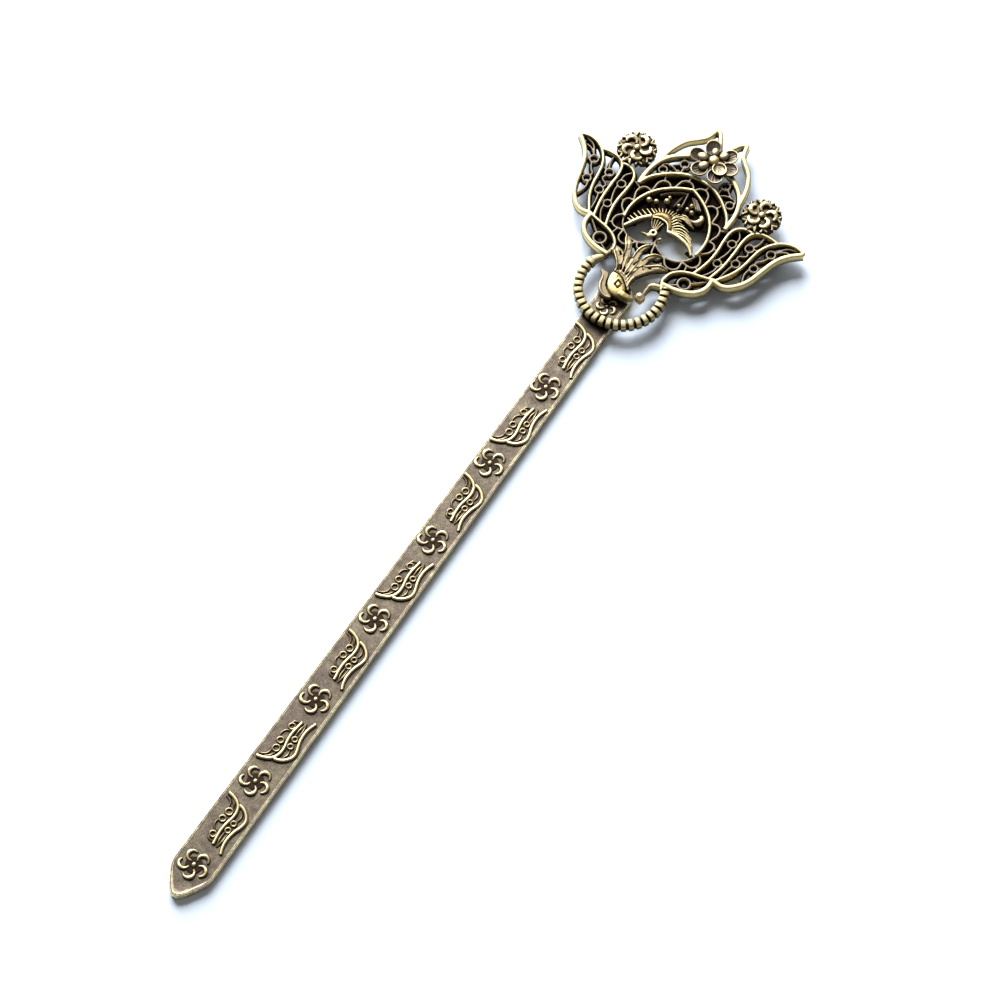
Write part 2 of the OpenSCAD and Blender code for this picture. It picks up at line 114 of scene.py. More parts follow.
def pebble(target, x, y, z, radius, stretch=(1, 1, 1), turn=0.0, segments=24):
    place = Matrix.Translation((x, y, z)) @ Matrix.Rotation(radians(turn), 4, "Z")
    place = place @ Matrix.Diagonal((*stretch, 1))
    rings = segments // 2
    bmesh.ops.create_uvsphere(target, u_segments=segments, v_segments=rings, radius=radius,
                              matrix=place)


def drum(target, x, y, radius, low, high, segments=32):
    place = Matrix.Translation((x, y, (low + high) / 2))
    bmesh.ops.create_cone(target, cap_ends=True, segments=segments, radius1=radius, radius2=radius,
                          depth=high - low, matrix=place)


def faceUp(face):
    face.normal_update()
    if face.normal.z < 0:
        face.normal_flip()


def newPiece(name, source):
    mesh = bpy.data.meshes.new(name)
    bmesh.ops.remove_doubles(source, verts=source.verts, dist=weldGap)
    bmesh.ops.recalc_face_normals(source, faces=source.faces)
    source.to_mesh(mesh)
    source.free()
    piece = bpy.data.objects.new(name, mesh)
    bpy.context.collection.objects.link(piece)
    return piece


def bake(piece):
    # Puts the result of the piece's modifiers into its mesh
    graph = bpy.context.evaluated_depsgraph_get()
    mesh = bpy.data.meshes.new_from_object(piece.evaluated_get(graph))
    piece.modifiers.clear()
    piece.data = mesh


def castAsOne(piece, voxel, most):
    # Melts overlapping shapes into one skin with the soft inner corners of a casting, and thins
    # it to the number of triangles that is given as most
    fuse = piece.modifiers.new("fuse", "REMESH")
    fuse.mode = "VOXEL"
    fuse.voxel_size = voxel
    soft = piece.modifiers.new("soft", "SMOOTH")
    soft.factor = 0.5
    soft.iterations = 1
    bake(piece)
    triangles = 2 * len(piece.data.polygons)
    if triangles > most:
        thin = piece.modifiers.new("thin", "DECIMATE")
        thin.ratio = most / triangles
        bake(piece)


def finish(piece, material, nodes, place=None, crease=40):
    piece.data.transform(Matrix.Scale(metre, 4) @ (place or Matrix.Identity(4)))
    piece.data.shade_smooth()
    piece.data.set_sharp_from_angle(angle=radians(crease))
    piece.data.materials.clear()
    piece.data.materials.append(material)
    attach(piece, "root")
    if nodes:
        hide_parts(*nodes)
    print("piece", piece.name, len(piece.data.polygons), "faces")


def carve(piece, lines, width, depth):
    # Presses narrow grooves into the upward faces of a piece
    mesh = piece.data
    count = len(mesh.vertices)
    spots = np.empty(count * 3)
    ways = np.empty(count * 3)
    mesh.vertices.foreach_get("co", spots)
    mesh.vertex_normals.foreach_get("vector", ways)
    spots = spots.reshape(-1, 3)
    ways = ways.reshape(-1, 3)
    near = np.full(count, np.inf)
    for line in lines:
        for (ax, ay), (bx, by) in zip(line, line[1:]):
            reach = np.array([bx - ax, by - ay])
            along = ((spots[:, 0] - ax) * reach[0] + (spots[:, 1] - ay) * reach[1]) / (reach @ reach)
            along = np.clip(along, 0, 1)
            off = np.hypot(spots[:, 0] - ax - along * reach[0], spots[:, 1] - ay - along * reach[1])
            near = np.minimum(near, off)
    facesUp = ways[:, 2] > 0.15
    share = np.clip(1 - (near / width) ** 2, 0, 1) * facesUp
    spots[:, 2] -= depth * share
    mesh.vertices.foreach_set("co", spots.ravel())
    mesh.update()


# Materials
def tone(code):
    # sRGB hex to linear colour
    parts = [int(code[k:k + 2], 16) / 255 for k in (0, 2, 4)]
    return (*[p / 12.92 if p <= 0.04045 else ((p + 0.055) / 1.055) ** 2.4 for p in parts], 1.0)


def addNode(tree, kind, settings=None, **links):
    node = tree.nodes.new(kind)
    for key, value in (settings or {}).items():
        if hasattr(node, key):
            setattr(node, key, value)
        else:
            node.inputs[key].default_value = value
    for key, source in links.items():
        name = key.replace("_", " ").strip()
        socket = node.inputs[int(name[1:])] if name[0] == "i" and name[1:].isdigit() else node.inputs[name]
        tree.links.new(source, socket)
    return node


# Sizes in millimetres of what shows on the metal: rubbed patches, pits of the cast skin and
# their depth, and clouds of cooler plate
skin = dict(patch=1.6, pit=0.26, pitDepth=0.03, cloud=2.4)


def bronze(name, look):
    # Zinc alloy with antique bronze plate: black patina is left in the low places, and the
    # brushed high places show pale brass. The eye reads a dark drawing with worn bright lines.
    # Hollows are darkened further: patina there, and painted shade as well.
    material = bpy.data.materials.new(name)
    material.use_nodes = True
    tree = material.node_tree
    tree.nodes.clear()
    out = addNode(tree, "ShaderNodeOutputMaterial")
    shader = addNode(tree, "ShaderNodeBsdfPrincipled", {"Metallic": 1.0})
    tree.links.new(shader.outputs[0], out.inputs[0])
    spot = addNode(tree, "ShaderNodeTexCoord")
    place = spot.outputs["Object"]
    height = addNode(tree, "ShaderNodeSeparateXYZ", Vector=place).outputs["Z"]
    facing = addNode(tree, "ShaderNodeSeparateXYZ", Vector=spot.outputs["Normal"]).outputs["Z"]

    def between(source, low, high, first=0.0, last=1.0, smooth=True):
        kind = "SMOOTHSTEP" if smooth else "LINEAR"
        limits = {"From Min": low, "From Max": high, "To Min": first, "To Max": last}
        limits["interpolation_type"] = kind
        return addNode(tree, "ShaderNodeMapRange", limits, Value=source).outputs[0]

    def times(one, other):
        return addNode(tree, "ShaderNodeMath", {"operation": "MULTIPLY"}, i0=one, i1=other).outputs[0]

    def noise(size, detail):
        settings = {"Scale": 1 / (size * metre), "Detail": detail, "Roughness": 0.6}
        return addNode(tree, "ShaderNodeTexNoise", settings, Vector=place).outputs["Fac"]

    def blend(share, one, other, kind="MIX"):
        mix = addNode(tree, "ShaderNodeMix", {"data_type": "RGBA", "blend_type": kind})
        for socket, source in ((mix.inputs[0], share), (mix.inputs[6], one), (mix.inputs[7], other)):
            if isinstance(source, bpy.types.NodeSocket):
                tree.links.new(source, socket)
            else:
                socket.default_value = source
        return mix.outputs[2]

    raised = between(height, look["low"] * metre, look["high"] * metre)
    upward = between(facing, look["side"], look["top"])
    # Ambient occlusion darkens hollows and narrow gaps: the patina that lies there, and painted shade as
    # well
    hollow = addNode(tree, "ShaderNodeAmbientOcclusion",
                     {"samples": 8, "Distance": look["reach"] * metre})
    clear = between(hollow.outputs["AO"], look["deep"], look["clear"])
    patches = between(noise(skin["patch"], 4.0), 0.3, 0.7, 1 - look["patchy"], 1.0, False)
    grain = noise(skin["pit"], 3.0)
    # One mask for rubbed high places, patches, and the darkening of hollows, which is partly painted shade
    wearAndShade = times(times(raised, clear), patches)
    ramp = addNode(tree, "ShaderNodeValToRGB", i0=wearAndShade)
    stops = ramp.color_ramp
    stops.elements[0].color = tone(look["patinaAndShade"])
    stops.elements[1].color = tone(look["worn"])
    stops.elements.new(0.5).color = tone(look["body"])
    # Side walls take their own tone instead of the tops' ramp: partly the brass of rubbed edges, partly
    # painted light on the flanks. They fall to the dark tone at their feet and where closed in: patina,
    # and painted shade there.
    airy = between(hollow.outputs["AO"], look["wallDeep"], look["wallClear"])
    wallWearAndShade = times(airy, between(height, look["wallLow"] * metre, look["wallHigh"] * metre))
    litWalls = blend(wallWearAndShade, tone(look["patinaAndShade"]), tone(look["wall"]))
    tops = ramp.outputs[0]
    if "tint" in look:
        warmth = between(height, look["tintLow"] * metre, look["tintHigh"] * metre)
        tops = blend(warmth, tops, tone(look["tint"]), "MULTIPLY")
    colour = blend(upward, litWalls, tops)
    if "cool" in look:
        clouds = between(noise(skin["cloud"], 3.0), 0.42, 0.58)
        colour = blend(clouds, colour, tone(look["cool"]), "MULTIPLY")
    fleck = between(grain, 0.3, 0.7, 1 - look["fleck"], 1 + look["fleck"], False)
    tree.links.new(blend(1.0, colour, fleck, "MULTIPLY"), shader.inputs["Base Color"])
    polish = between(wearAndShade, 0.0, 1.0, look["dull"], look["gloss"], False)
    tree.links.new(polish, shader.inputs["Roughness"])
    pits = {"Strength": look["pitted"], "Distance": skin["pitDepth"] * metre}
    bump = addNode(tree, "ShaderNodeBump", pits, Height=grain)
    tree.links.new(bump.outputs[0], shader.inputs["Normal"])
    return material


# Heights and reach are in millimetres. From low to high the patina gives way to the body and
# the worn colour on faces turned up from side to top. deep and clear are how open a place is;
# closed places take the dark tone, patina and painted shade together. wallDeep to wallHigh the
# same for side walls, whose wall tone is partly painted light. patchy, fleck and pitted are strengths.
common = dict(side=0.1, top=0.7, patchy=0.2, fleck=0.12, dull=0.5, gloss=0.44, pitted=0.25)
finishes = {
    # tumbled flat strip: purplish brown field, dark pits, thin brassy rim
    "blade": dict(common, low=1.275, high=1.425, reach=0.8, deep=0.4, clear=0.85,
                  patchy=0.5, fleck=0.5, dull=0.55, gloss=0.42, pitted=0.5, cool="e6e0ea",
                  wallDeep=0.1, wallClear=0.5, wallLow=-0.6, wallHigh=0.8,
                  patinaAndShade="1c1510", body="a09682", worn="e6dcb0", wall="f6eabe"),
    # raised sprigs and flowers, rubbed by hand: smooth pale tops with black feet
    "relief": dict(common, low=1.44, high=1.68, side=0.3, top=0.85, reach=0.6, deep=0.4, clear=0.85,
                   patchy=0.12, fleck=0.08, gloss=0.4, pitted=0.2,
                   wallDeep=0.4, wallClear=0.9, wallLow=1.3, wallHigh=1.7,
                   patinaAndShade="1e1512", body="80725a", worn="c2b288", wall="7a6c4c"),
    # cast wires: pale tops and lit flanks over near-black plates, partly painted shade
    "openwork": dict(common, low=2.4, high=3.15, side=0.2, top=0.65, reach=2.0, deep=0.25, clear=0.7,
                     patchy=0.15, fleck=0.08, dull=0.55, gloss=0.48, pitted=0.2,
                     wallDeep=0.3, wallClear=0.58, wallLow=1.65, wallHigh=2.7,
                     patinaAndShade="120c09", body="70675a", worn="b2a782", wall="e6d294"),
    # beads of the ring: greyer, with black notches
    "ring": dict(common, low=2.4, high=3.15, side=0.2, top=0.65, reach=1.0, deep=0.25, clear=0.7,
                 fleck=0.15, dull=0.55, gloss=0.46, pitted=0.3,
                 wallDeep=0.2, wallClear=0.6, wallLow=1.75, wallHigh=2.9,
                 patinaAndShade="120c09", body="6e6450", worn="918769", wall="c0b07a"),
    # the ball at the beak: the most polished place, warm brass
    "ball": dict(common, low=2.2, high=3.8, side=0.0, reach=0.8, deep=0.25, clear=0.8,
                 patchy=0.1, fleck=0.08, dull=0.4, gloss=0.34, pitted=0.1,
                 wallDeep=0.35, wallClear=0.8, wallLow=1.5, wallHigh=3.6,
                 patinaAndShade="120c09", body="946c34", worn="fff0c4", wall="be8c48"),
    # brushed crest and beak: golden tops with dark slots
    "bird": dict(common, low=2.4, high=3.5, top=0.8, reach=0.5, deep=0.4, clear=0.88,
                 patchy=0.25, fleck=0.15, tint="fff4d8", tintLow=3.1, tintHigh=3.4,
                 wallDeep=0.35, wallClear=0.85, wallLow=1.9, wallHigh=3.0,
                 patinaAndShade="1a1210", body="7e725a", worn="d0c498", wall="a49468"),
    # fine feathers: pale strokes with dark brown between them
    "crane": dict(common, low=2.4, high=3.25, reach=0.5, deep=0.35, clear=0.88, patchy=0.15, gloss=0.46,
                  wallDeep=0.35, wallClear=0.85, wallLow=1.9, wallHigh=3.1,
                  patinaAndShade="1a120c", body="807456", worn="beb28a", wall="86764e"),
    # the small bird's back: rubbed down to a deeper gold
    "back": dict(common, low=2.0, high=3.2, side=0.0, reach=0.5, deep=0.2, clear=0.8, gloss=0.46,
                 wallDeep=0.2, wallClear=0.7, wallLow=1.9, wallHigh=2.8,
                 patinaAndShade="1a120c", body="5e5038", worn="846f46", wall="5e5036"),
    # smooth cupped petals: soft grey-brown cups with bright rolled rims
    "blossom": dict(common, low=3.4, high=4.75, top=0.8, reach=0.7, deep=0.45, clear=0.93,
                    patchy=0.3, fleck=0.15, gloss=0.4, tint="fff2d0", tintLow=4.0, tintHigh=4.4,
                    wallDeep=0.3, wallClear=0.8, wallLow=3.0, wallHigh=4.2,
                    patinaAndShade="342c2a", body="aca086", worn="fff0c4", wall="8a7850"),
    # round flowers: dark brown lobes with worn curls
    "rosette": dict(common, low=2.6, high=4.1, top=0.8, reach=0.6, deep=0.2, clear=0.8,
                    wallDeep=0.3, wallClear=0.8, wallLow=2.6, wallHigh=3.9,
                    patinaAndShade="2a2016", body="5e523e", worn="c6bc94", wall="6a5a3c"),
}
metals = {name: bronze("antiqueBronze" + name.title(), look) for name, look in finishes.items()}
print("materials ready")

# Blade
blade = dict(
    footX=0.42, footY=-87.7, lean=0.38, neckWidth=5.8, length=139.8, field=1.32, chamfer=0.12,
    # half of the pointed end from the tip up
    point=[(0.5, 0.004), (1.2, 0.6), (1.8, 1.35), (2.65, 2.75), (3.3, 3.9), (3.68, 4.85), (3.8, 5.8)],
    # width and rise of each step of the rim from outside in: a chamfer, two bright ridges with
    # a fine line between them, and the slope down to the field
    rimSteps=[(0.03, 0.07), (0.03, 0.04), (0.09, 0.0), (0.03, -0.1), (0.07, 0.0), (0.03, 0.1),
              (0.09, 0.0), (0.05, -0.07)],
    # the slope behind the rim grows wider below this height above the tip
    slopeGrowth=0.75, slopeStart=6.5,
    relief=0.38, reliefDeep=0.5, pitch=18.0, firstFlower=6.2, flowers=7, flowerX=-0.2, flowerTurn=-16,
    armWidth=0.74, poolRadius=1.5, poolHigh=0.14, lastFlower=133.9, lastSize=0.68)
placeBlade = (Matrix.Translation((blade["footX"], blade["footY"], 0))
              @ Matrix.Rotation(radians(blade["lean"]), 4, "Z"))


def makeBlade():
    neck, length, chamfer = blade["neckWidth"] / 2, blade["length"], blade["chamfer"]
    side = blade["point"]
    outline = side + arcLine(0, length - neck, neck, 0, 180, 13) + [(-x, y) for x, y in reversed(side)]
    shape = bmesh.new()
    base = shape.faces.new([shape.verts.new((x, y, chamfer)) for x, y in outline])
    bmesh.ops.inset_region(shape, faces=[base], thickness=chamfer, depth=0.0, use_boundary=True,
                           use_even_offset=True)
    bmesh.ops.translate(shape, verts=base.verts[:], vec=(0, 0, -chamfer))
    rim = [e for e in shape.edges if e.is_boundary]
    grown = bmesh.ops.extrude_edge_only(shape, edges=rim)["geom"]
    upper = [v for v in grown if isinstance(v, bmesh.types.BMVert)]
    wall = blade["field"] - chamfer - sum(rise for width, rise in blade["rimSteps"])
    bmesh.ops.translate(shape, verts=upper, vec=(0, 0, wall))
    loop = [e for e in grown if isinstance(e, bmesh.types.BMEdge) and e.is_boundary]
    top = bmesh.ops.contextual_create(shape, geom=loop)["faces"][0]
    faceUp(top)
    for width, rise in blade["rimSteps"]:
        bmesh.ops.inset_region(shape, faces=[top], thickness=width, depth=rise, use_even_offset=True)
    for corner in top.verts:
        corner.co.y += blade["slopeGrowth"] * max(0, 1 - corner.co.y / blade["slopeStart"])
    return newPiece("bladeBody", shape)


comma = dict(x=1.62, y=0.0, radius=0.95, first=155, last=-55, points=7)  # one arm of a pinwheel


def pinwheel(target, x, y, size, turn, top, flip=1, width=1.0, deep=0.55, bead=(0.48, 0.58, 0.42),
             flat=0.5):
    # Five comma-shaped arms round a bead
    arms = [turned(arcLine(**comma), turn + 72 * k, x, y, size, flip) for k in range(5)]
    sweep(target, arms, width * size, top - deep, top, taper=(0.5, 1, 0.5), steps=3, flat=flat)
    pebble(target, x, y, top - bead[2] * 0.9, size, bead, segments=16)


sprig = dict(
    stems=[[(-2.75, 4.95), (-1.5, 4.65), (-0.2, 3.85), (0.35, 2.8), (0.42, 1.4), (0.15, 0.0),
            (0.02, -1.5), (0.35, -4.2)],
           [(0.05, 3.95), (1.0, 3.7), (2.0, 3.0), (2.65, 1.9), (2.6, 0.9), (2.1, -0.6),
            (1.85, -2.2), (2.0, -3.8), (2.45, -5.1)]],
    rings=[(-0.72, 2.05, 0.6), (-0.95, 0.45, 0.55), (-0.72, -2.7, 0.55), (1.15, 0.6, 0.46),
           (1.05, -0.9, 0.46)],
    strokes=[[(-2.7, 4.25), (-1.9, 3.95), (-1.35, 3.3), (-1.3, 2.3)],
             [(-1.6, 4.25), (-0.9, 3.75), (-0.45, 2.9)],
             [(-1.45, 0.1), (-1.6, -0.8), (-1.1, -1.7), (-0.5, -1.9)],
             [(-1.2, -2.9), (-0.9, -3.7), (-0.2, -3.9)], [(1.2, 3.0), (1.6, 2.2), (1.45, 1.2)],
             [(0.75, -1.5), (0.75, -2.9), (1.15, -4.4)], [(1.4, -1.5), (1.35, -2.9), (1.15, -4.2)]],
    stemWidth=0.62, curlWidth=0.42, curlDrop=0.1)


def onBlade(lines, middle, up):
    return [[(x, middle + up * y) for x, y in line] for line in lines]


def makeRelief():
    shape = bmesh.new()
    top, deep, width = blade["field"] + blade["relief"], blade["reliefDeep"], sprig["curlWidth"]
    curlMiddle = top - sprig["curlDrop"] - width / 2
    for k in range(blade["flowers"]):
        x, y = blade["flowerX"], blade["firstFlower"] + k * blade["pitch"]
        pinwheel(shape, x, y, 1.0, blade["flowerTurn"], top, width=blade["armWidth"])
        # a dark pool stands between the arms: patina in the hollow, and painted shade there too
        pool = circleLine(x, y, blade["poolRadius"], 20)
        plate(shape, pool, top - deep, blade["field"] + blade["poolHigh"])
        # every other sprig stands on its head
        middle = blade["firstFlower"] + (k + 0.5) * blade["pitch"]
        up = -1 if k % 2 else 1
        sweep(shape, onBlade(sprig["stems"], middle, up), sprig["stemWidth"], top - deep, top,
              taper=(1.1, 1, 0.95), flat=0.6)
        rings = onBlade([circleLine(*ring) for ring in sprig["rings"]], middle, up)
        sweep(shape, rings, width, curlMiddle, closed=True, steps=2)
        strokes = onBlade(sprig["strokes"], middle, up)
        sweep(shape, strokes, width, curlMiddle, taper=(0.7, 1, 0.6), steps=3)
    pinwheel(shape, 0, blade["lastFlower"], blade["lastSize"], blade["flowerTurn"], top)
    return newPiece("bladeRelief", shape)


finish(makeBlade(), metals["blade"], ["blade"], placeBlade, crease=12)
finish(makeRelief(), metals["relief"], [], placeBlade)
print("blade done")

# Openwork head, drawn from the middle of its ring
head = dict(y=50.0, low=1.55, high=3.25, fineHigh=2.8, seatHigh=2.05, backingAndShadeHigh=1.85, wire=0.78,
            lightWire=0.48, fineWire=0.34, sideTwig=0.26, bar=0.9, birdBar=0.8, berryLift=0.12)
# Balls of metal at the tips of the fans and of the ear loops: place, radius, depth below the top
fanTip, earTip = (23.3, 23.42, 0.42, 0.38), (3.1, 37.38, 0.4, 0.4)
placeHead = Matrix.Translation((0, head["y"], 0))
# The fans' edges, the two upper leaves and the third with the small leaf
fanEdges = [
    [(23.4, 23.3), (21.4, 21.5), (20.1, 19.6), (19.05, 16.3), (18.2, 13.4), (16.8, 11.2),
     (14.9, 9.9), (12.7, 10.1)],
    [(12.7, 10.2), (12.7, 8.2), (11.9, 6.6), (10.4, 5.5), (8.2, 4.8), (5.7, 4.6)]]
leafWires = [
    [(23.3, 23.5), (21.4, 23.85), (19.4, 23.3), (17.8, 22.0), (16.6, 20.0), (16.1, 17.8),
     (15.8, 15.7), (15.0, 13.2), (13.2, 10.2)],
    [(18.3, 22.8), (16.5, 23.0), (14.9, 22.8), (13.7, 22.0), (13.1, 20.4), (13.0, 17.0),
     (12.8, 13.5), (12.1, 10.1)]]
innerLeafWires = [
    [(13.5, 22.2), (12.2, 22.2), (11.0, 21.6), (10.3, 20.5), (10.1, 18.5), (10.3, 15.0),
     (10.0, 12.2), (9.2, 9.4)],
    [(12.8, 10.1), (10.8, 9.6), (8.6, 9.1), (6.8, 8.2), (5.7, 6.9), (5.45, 5.6)]]
# the right leaf's inner wire runs on to the ring
leafEnd = [(5.7, 6.9), (5.35, 5.4), (6.2, 3.3)]
# The crescent and the ear loops, then the inner frame
crescent = [
    [(9.0, 20.2), (9.1, 22.0), (8.8, 24.7), (7.65, 27.3), (5.9, 29.05), (3.35, 30.55), (0, 31.1)],
    [(8.45, 25.75), (8.12, 28.35), (7.42, 30.6), (6.35, 32.5), (4.88, 33.88), (3.88, 34.95),
     (3.4, 36.2), (3.15, 37.47)],
    [(3.15, 37.47), (2.3, 37.0), (1.6, 36.0), (0.9, 34.6), (0.3, 33.4)]]
innerFrame = [
    [(9.1, 20.2), (8.1, 22.3), (6.6, 23.9), (4.6, 25.4), (2.4, 26.4), (0, 26.7)],
    [(0, 24.2), (2.0, 23.3), (4.0, 22.0), (5.8, 20.2), (7.1, 17.9), (7.7, 15.2), (7.5, 12.8)]]
lowerFrame = [(7.6, 13.5), (7.5, 12.8), (6.4, 10.9), (4.2, 9.7), (2.0, 9.95), (0, 11.2)]
# Thin dark plates low between the wires, round the inner frame, inside the third leaf and behind
# the tree: partly a backing, partly painted shade for the black that shows through the openwork
frameBackingAndShade = [(0, 26.7), (2.4, 26.4), (4.6, 25.4), (6.6, 23.9), (8.1, 22.3), (9.1, 20.2),
               (10.0, 18.5), (10.2, 15.0), (9.9, 12.2), (9.1, 9.5), (6.8, 8.5), (5.0, 8.3),
               (2.7, 9.0), (0, 9.4), (0, 11.2), (2.0, 9.95), (4.2, 9.7), (6.4, 10.9), (7.5, 12.8),
               (7.7, 15.2), (7.1, 17.9), (5.8, 20.2), (4.0, 22.0), (2.0, 23.3), (0, 24.2)]
leafBackingAndShade = [(13.5, 22.2), (12.2, 22.2), (11.0, 21.6), (10.3, 20.5), (10.1, 18.5), (10.3, 15.0),
              (10.0, 12.2), (9.2, 9.4), (12.1, 10.1), (12.8, 13.5), (13.0, 17.0), (13.1, 20.4)]
treeBackingAndShade = [(-6.4, 11.5), (-7.6, 13.0), (-7.7, 15.2), (-7.1, 17.9), (-5.8, 20.2), (-4.0, 22.0),
              (-2.0, 23.3), (0, 24.2), (2.0, 23.3), (4.0, 22.0), (5.8, 20.2), (6.7, 18.9),
              (4.6, 17.6), (2.5, 16.9), (0.9, 15.8), (-3.0, 16.2), (-4.3, 14.7), (-5.7, 12.3)]
scallops = [
    [(0.1, 24.4), (0.9, 25.3), (2.4, 25.2), (3.2, 23.0)],
    [(3.7, 22.6), (4.6, 23.3), (5.9, 22.9), (6.3, 20.4)],
    [(6.2, 20.1), (7.7, 20.3), (8.5, 19.1), (8.0, 16.9)],
    [(7.7, 16.7), (9.1, 16.5), (9.3, 15.1), (7.9, 13.5)],
    [(7.9, 13.4), (8.9, 12.0), (8.4, 10.5), (6.2, 10.4)],
    [(6.2, 10.3), (6.0, 8.6), (4.4, 8.1), (2.9, 9.6)],
    [(2.7, 9.7), (2.1, 8.7), (0.9, 8.8), (0.2, 10.9)]]
# Fine rings with their radius at mid-wire, and the curls that join them to the frames
fanHoops = [
    (18.55, 20.3, 0.78), (17.5, 16.2, 0.74), (14.7, 19.35, 0.78), (14.3, 15.3, 0.76),
    (11.6, 18.45, 0.76), (11.5, 13.65, 0.72)]
leafHoops = [(8.8, 6.85, 1.14)]
crownHoops = [(7.0, 25.1, 0.74), (4.3, 28.15, 0.78)]
fanCurls = [
    [(21.8, 22.3), (20.2, 22.0), (19.0, 21.0)], [(22.0, 23.4), (20.4, 22.9), (19.0, 21.0)],
    [(18.6, 19.5), (18.0, 18.4), (17.2, 17.5), (17.3, 16.9)],
    [(16.9, 15.8), (16.7, 14.4), (17.5, 12.0)], [(19.3, 20.0), (20.1, 19.3)],
    [(18.1, 16.6), (19.0, 17.0)], [(15.2, 20.0), (15.7, 21.2), (15.8, 22.9)],
    [(14.9, 18.6), (15.1, 17.7), (13.9, 16.8), (14.0, 16.0)],
    [(14.0, 14.6), (13.6, 13.0), (13.4, 11.0)], [(15.4, 19.5), (16.3, 19.8)],
    [(12.1, 19.1), (12.1, 20.2), (11.1, 21.6)], [(12.0, 17.8), (11.9, 16.5), (11.2, 14.3)],
    [(11.9, 13.0), (11.7, 11.8), (10.4, 9.6)], [(10.3, 18.4), (11.0, 18.4)],
    [(12.2, 13.8), (12.9, 14.0)], [(12.3, 9.6), (9.8, 7.5)], [(8.0, 6.0), (6.0, 4.8)]]
crownCurls = [
    [(4.2, 25.6), (5.3, 26.4), (7.4, 26.3), (7.6, 25.6)], [(4.0, 27.5), (4.0, 25.9)],
    [(4.9, 27.8), (6.6, 26.4)], [(6.4, 24.7), (6.3, 24.0)], [(4.8, 28.8), (5.2, 29.6)],
    [(1.7, 25.3), (1.9, 26.4)], [(5.4, 23.2), (5.9, 24.4)], [(8.3, 19.6), (10.2, 20.4)],
    [(9.3, 15.8), (10.3, 15.8)], [(8.6, 10.9), (9.6, 10.4)], [(7.2, 10.4), (7.6, 8.7)]]
twigs = [[(-4.6, 20.3), (-3.5, 21.5), (-2.0, 22.6), (-0.6, 23.2)],
         [(-0.5, 23.4), (-0.3, 22.0), (-0.1, 20.2), (-0.3, 19.0)]]
# three straight strokes side by side run down to the hook
sideTwigs = [[(0.5, 23.0), (2.5, 21.0)], [(0.9, 23.1), (2.95, 21.1)], [(1.4, 23.0), (3.3, 21.3)]]
darkLeaf = [(-0.9, 23.0), (-1.1, 21.4), (-1.3, 19.6)]
stub = [(0.0, 11.2), (-0.1, 11.8), (0.5, 12.5)]
# Low bars that carry the small bird, and from each round flower's seat to the leaf and the frame
birdBars = [[(-6.9, 11.9), (-5.2, 13.2)], [(7.4, 12.5), (5.4, 13.0)], [(0, 11.0), (-0.8, 12.4)]]
barEnds = [(13.0, 22.2), (9.2, 24.4)]
berries = [(-5.58, 18.2, 0.55), (-4.34, 18.62, 0.47), (-2.75, 19.65, 0.55), (-2.75, 20.6, 0.32),
           (1.45, 21.22, 0.4), (1.18, 20.18, 0.4), (2.21, 19.99, 0.44), (-0.5, 20.0, 0.36)]
hook = [(2.6, 18.7), (3.6, 18.75), (4.25, 19.3), (4.35, 20.0), (3.9, 20.4)]
ringSet = dict(x=0.0, y=0.2, radius=7.65, width=1.7, notches=24, first=163.0, step=9.77, gap=0.48,
               notchDepth=0.9, end=35, bracket=0.72)
bracket = [(6.3, 4.0), (5.65, 3.84), (4.76, 3.6), (4.15, 3.2), (3.97, 2.4), (3.95, 0.8)]
# the ring's left end runs out along the leaf
tongue = [(-7.35, 2.3), (-7.0, 2.95), (-6.5, 3.7), (-6.08, 4.5), (-5.8, 5.4), (-5.86, 6.28),
          (-6.0, 6.8)]
# The ball is egg-shaped and stands on a slim foot
ball = dict(x=3.95, y=-0.05, radius=0.92, foot=0.45, drop=0.22, stretch=(1, 1, 1.28))
rosetteSet = dict(x=13.1, y=26.05, seat=2.2)


def castWires(target, lines, width, low, high, closed=False, foot=0.4, footHigh=0.6, taper=(1, 1, 1)):
    # A cast wire: a flat-topped wall on a wider foot, as the mould's draft leaves it. The wide dark
    # feet also close the gaps between wires, partly painted shade for the dark seen there.
    sweep(target, lines, width, low, high, taper=taper, closed=closed, flat=0.24)
    sweep(target, lines, width + foot, low, low + footHigh, taper=taper, closed=closed, steps=3,
          flat=0.6)


def bothHoops(hoops):
    return [circleLine(side * x, y, radius) for x, y, radius in hoops for side in (1, -1)]


def tipBall(target, tip, side, high):
    x, y, radius, drop = tip
    pebble(target, side * x, y, high - drop, radius, segments=12)


def makeFans():
    low, high, fine = head["low"], head["high"], head["fineHigh"]
    light, thin = head["lightWire"], head["fineWire"]
    shape = bmesh.new()
    castWires(shape, bothSides(fanEdges), head["wire"], low, high, foot=0.2)
    castWires(shape, bothSides(leafWires), light, low, high, foot=0.5)
    castWires(shape, bothSides(innerLeafWires) + [leafEnd], light, low, high, foot=0.8, footHigh=0.8)
    castWires(shape, bothSides(fanCurls), thin * 0.9, low, fine, foot=0.6)
    castWires(shape, bothHoops(fanHoops), thin, low, fine, closed=True, foot=0.5)
    castWires(shape, bothHoops(leafHoops), thin * 1.2, low, fine, closed=True, foot=1.2)
    for side in (1, -1):
        # a thin dark plate inside the third leaf, partly painted shade
        plate(shape, [(side * x, y) for x, y in leafBackingAndShade], low, head["backingAndShadeHigh"])
        tipBall(shape, fanTip, side, high)
        x, y = side * rosetteSet["x"], rosetteSet["y"]
        drum(shape, x, y, rosetteSet["seat"], low, head["seatHigh"])
        bars = [[(x, y), (side * endX, endY)] for endX, endY in barEnds]
        sweep(shape, bars, head["bar"], low, head["seatHigh"], flat=0.55)
    return newPiece("openworkFans", shape)


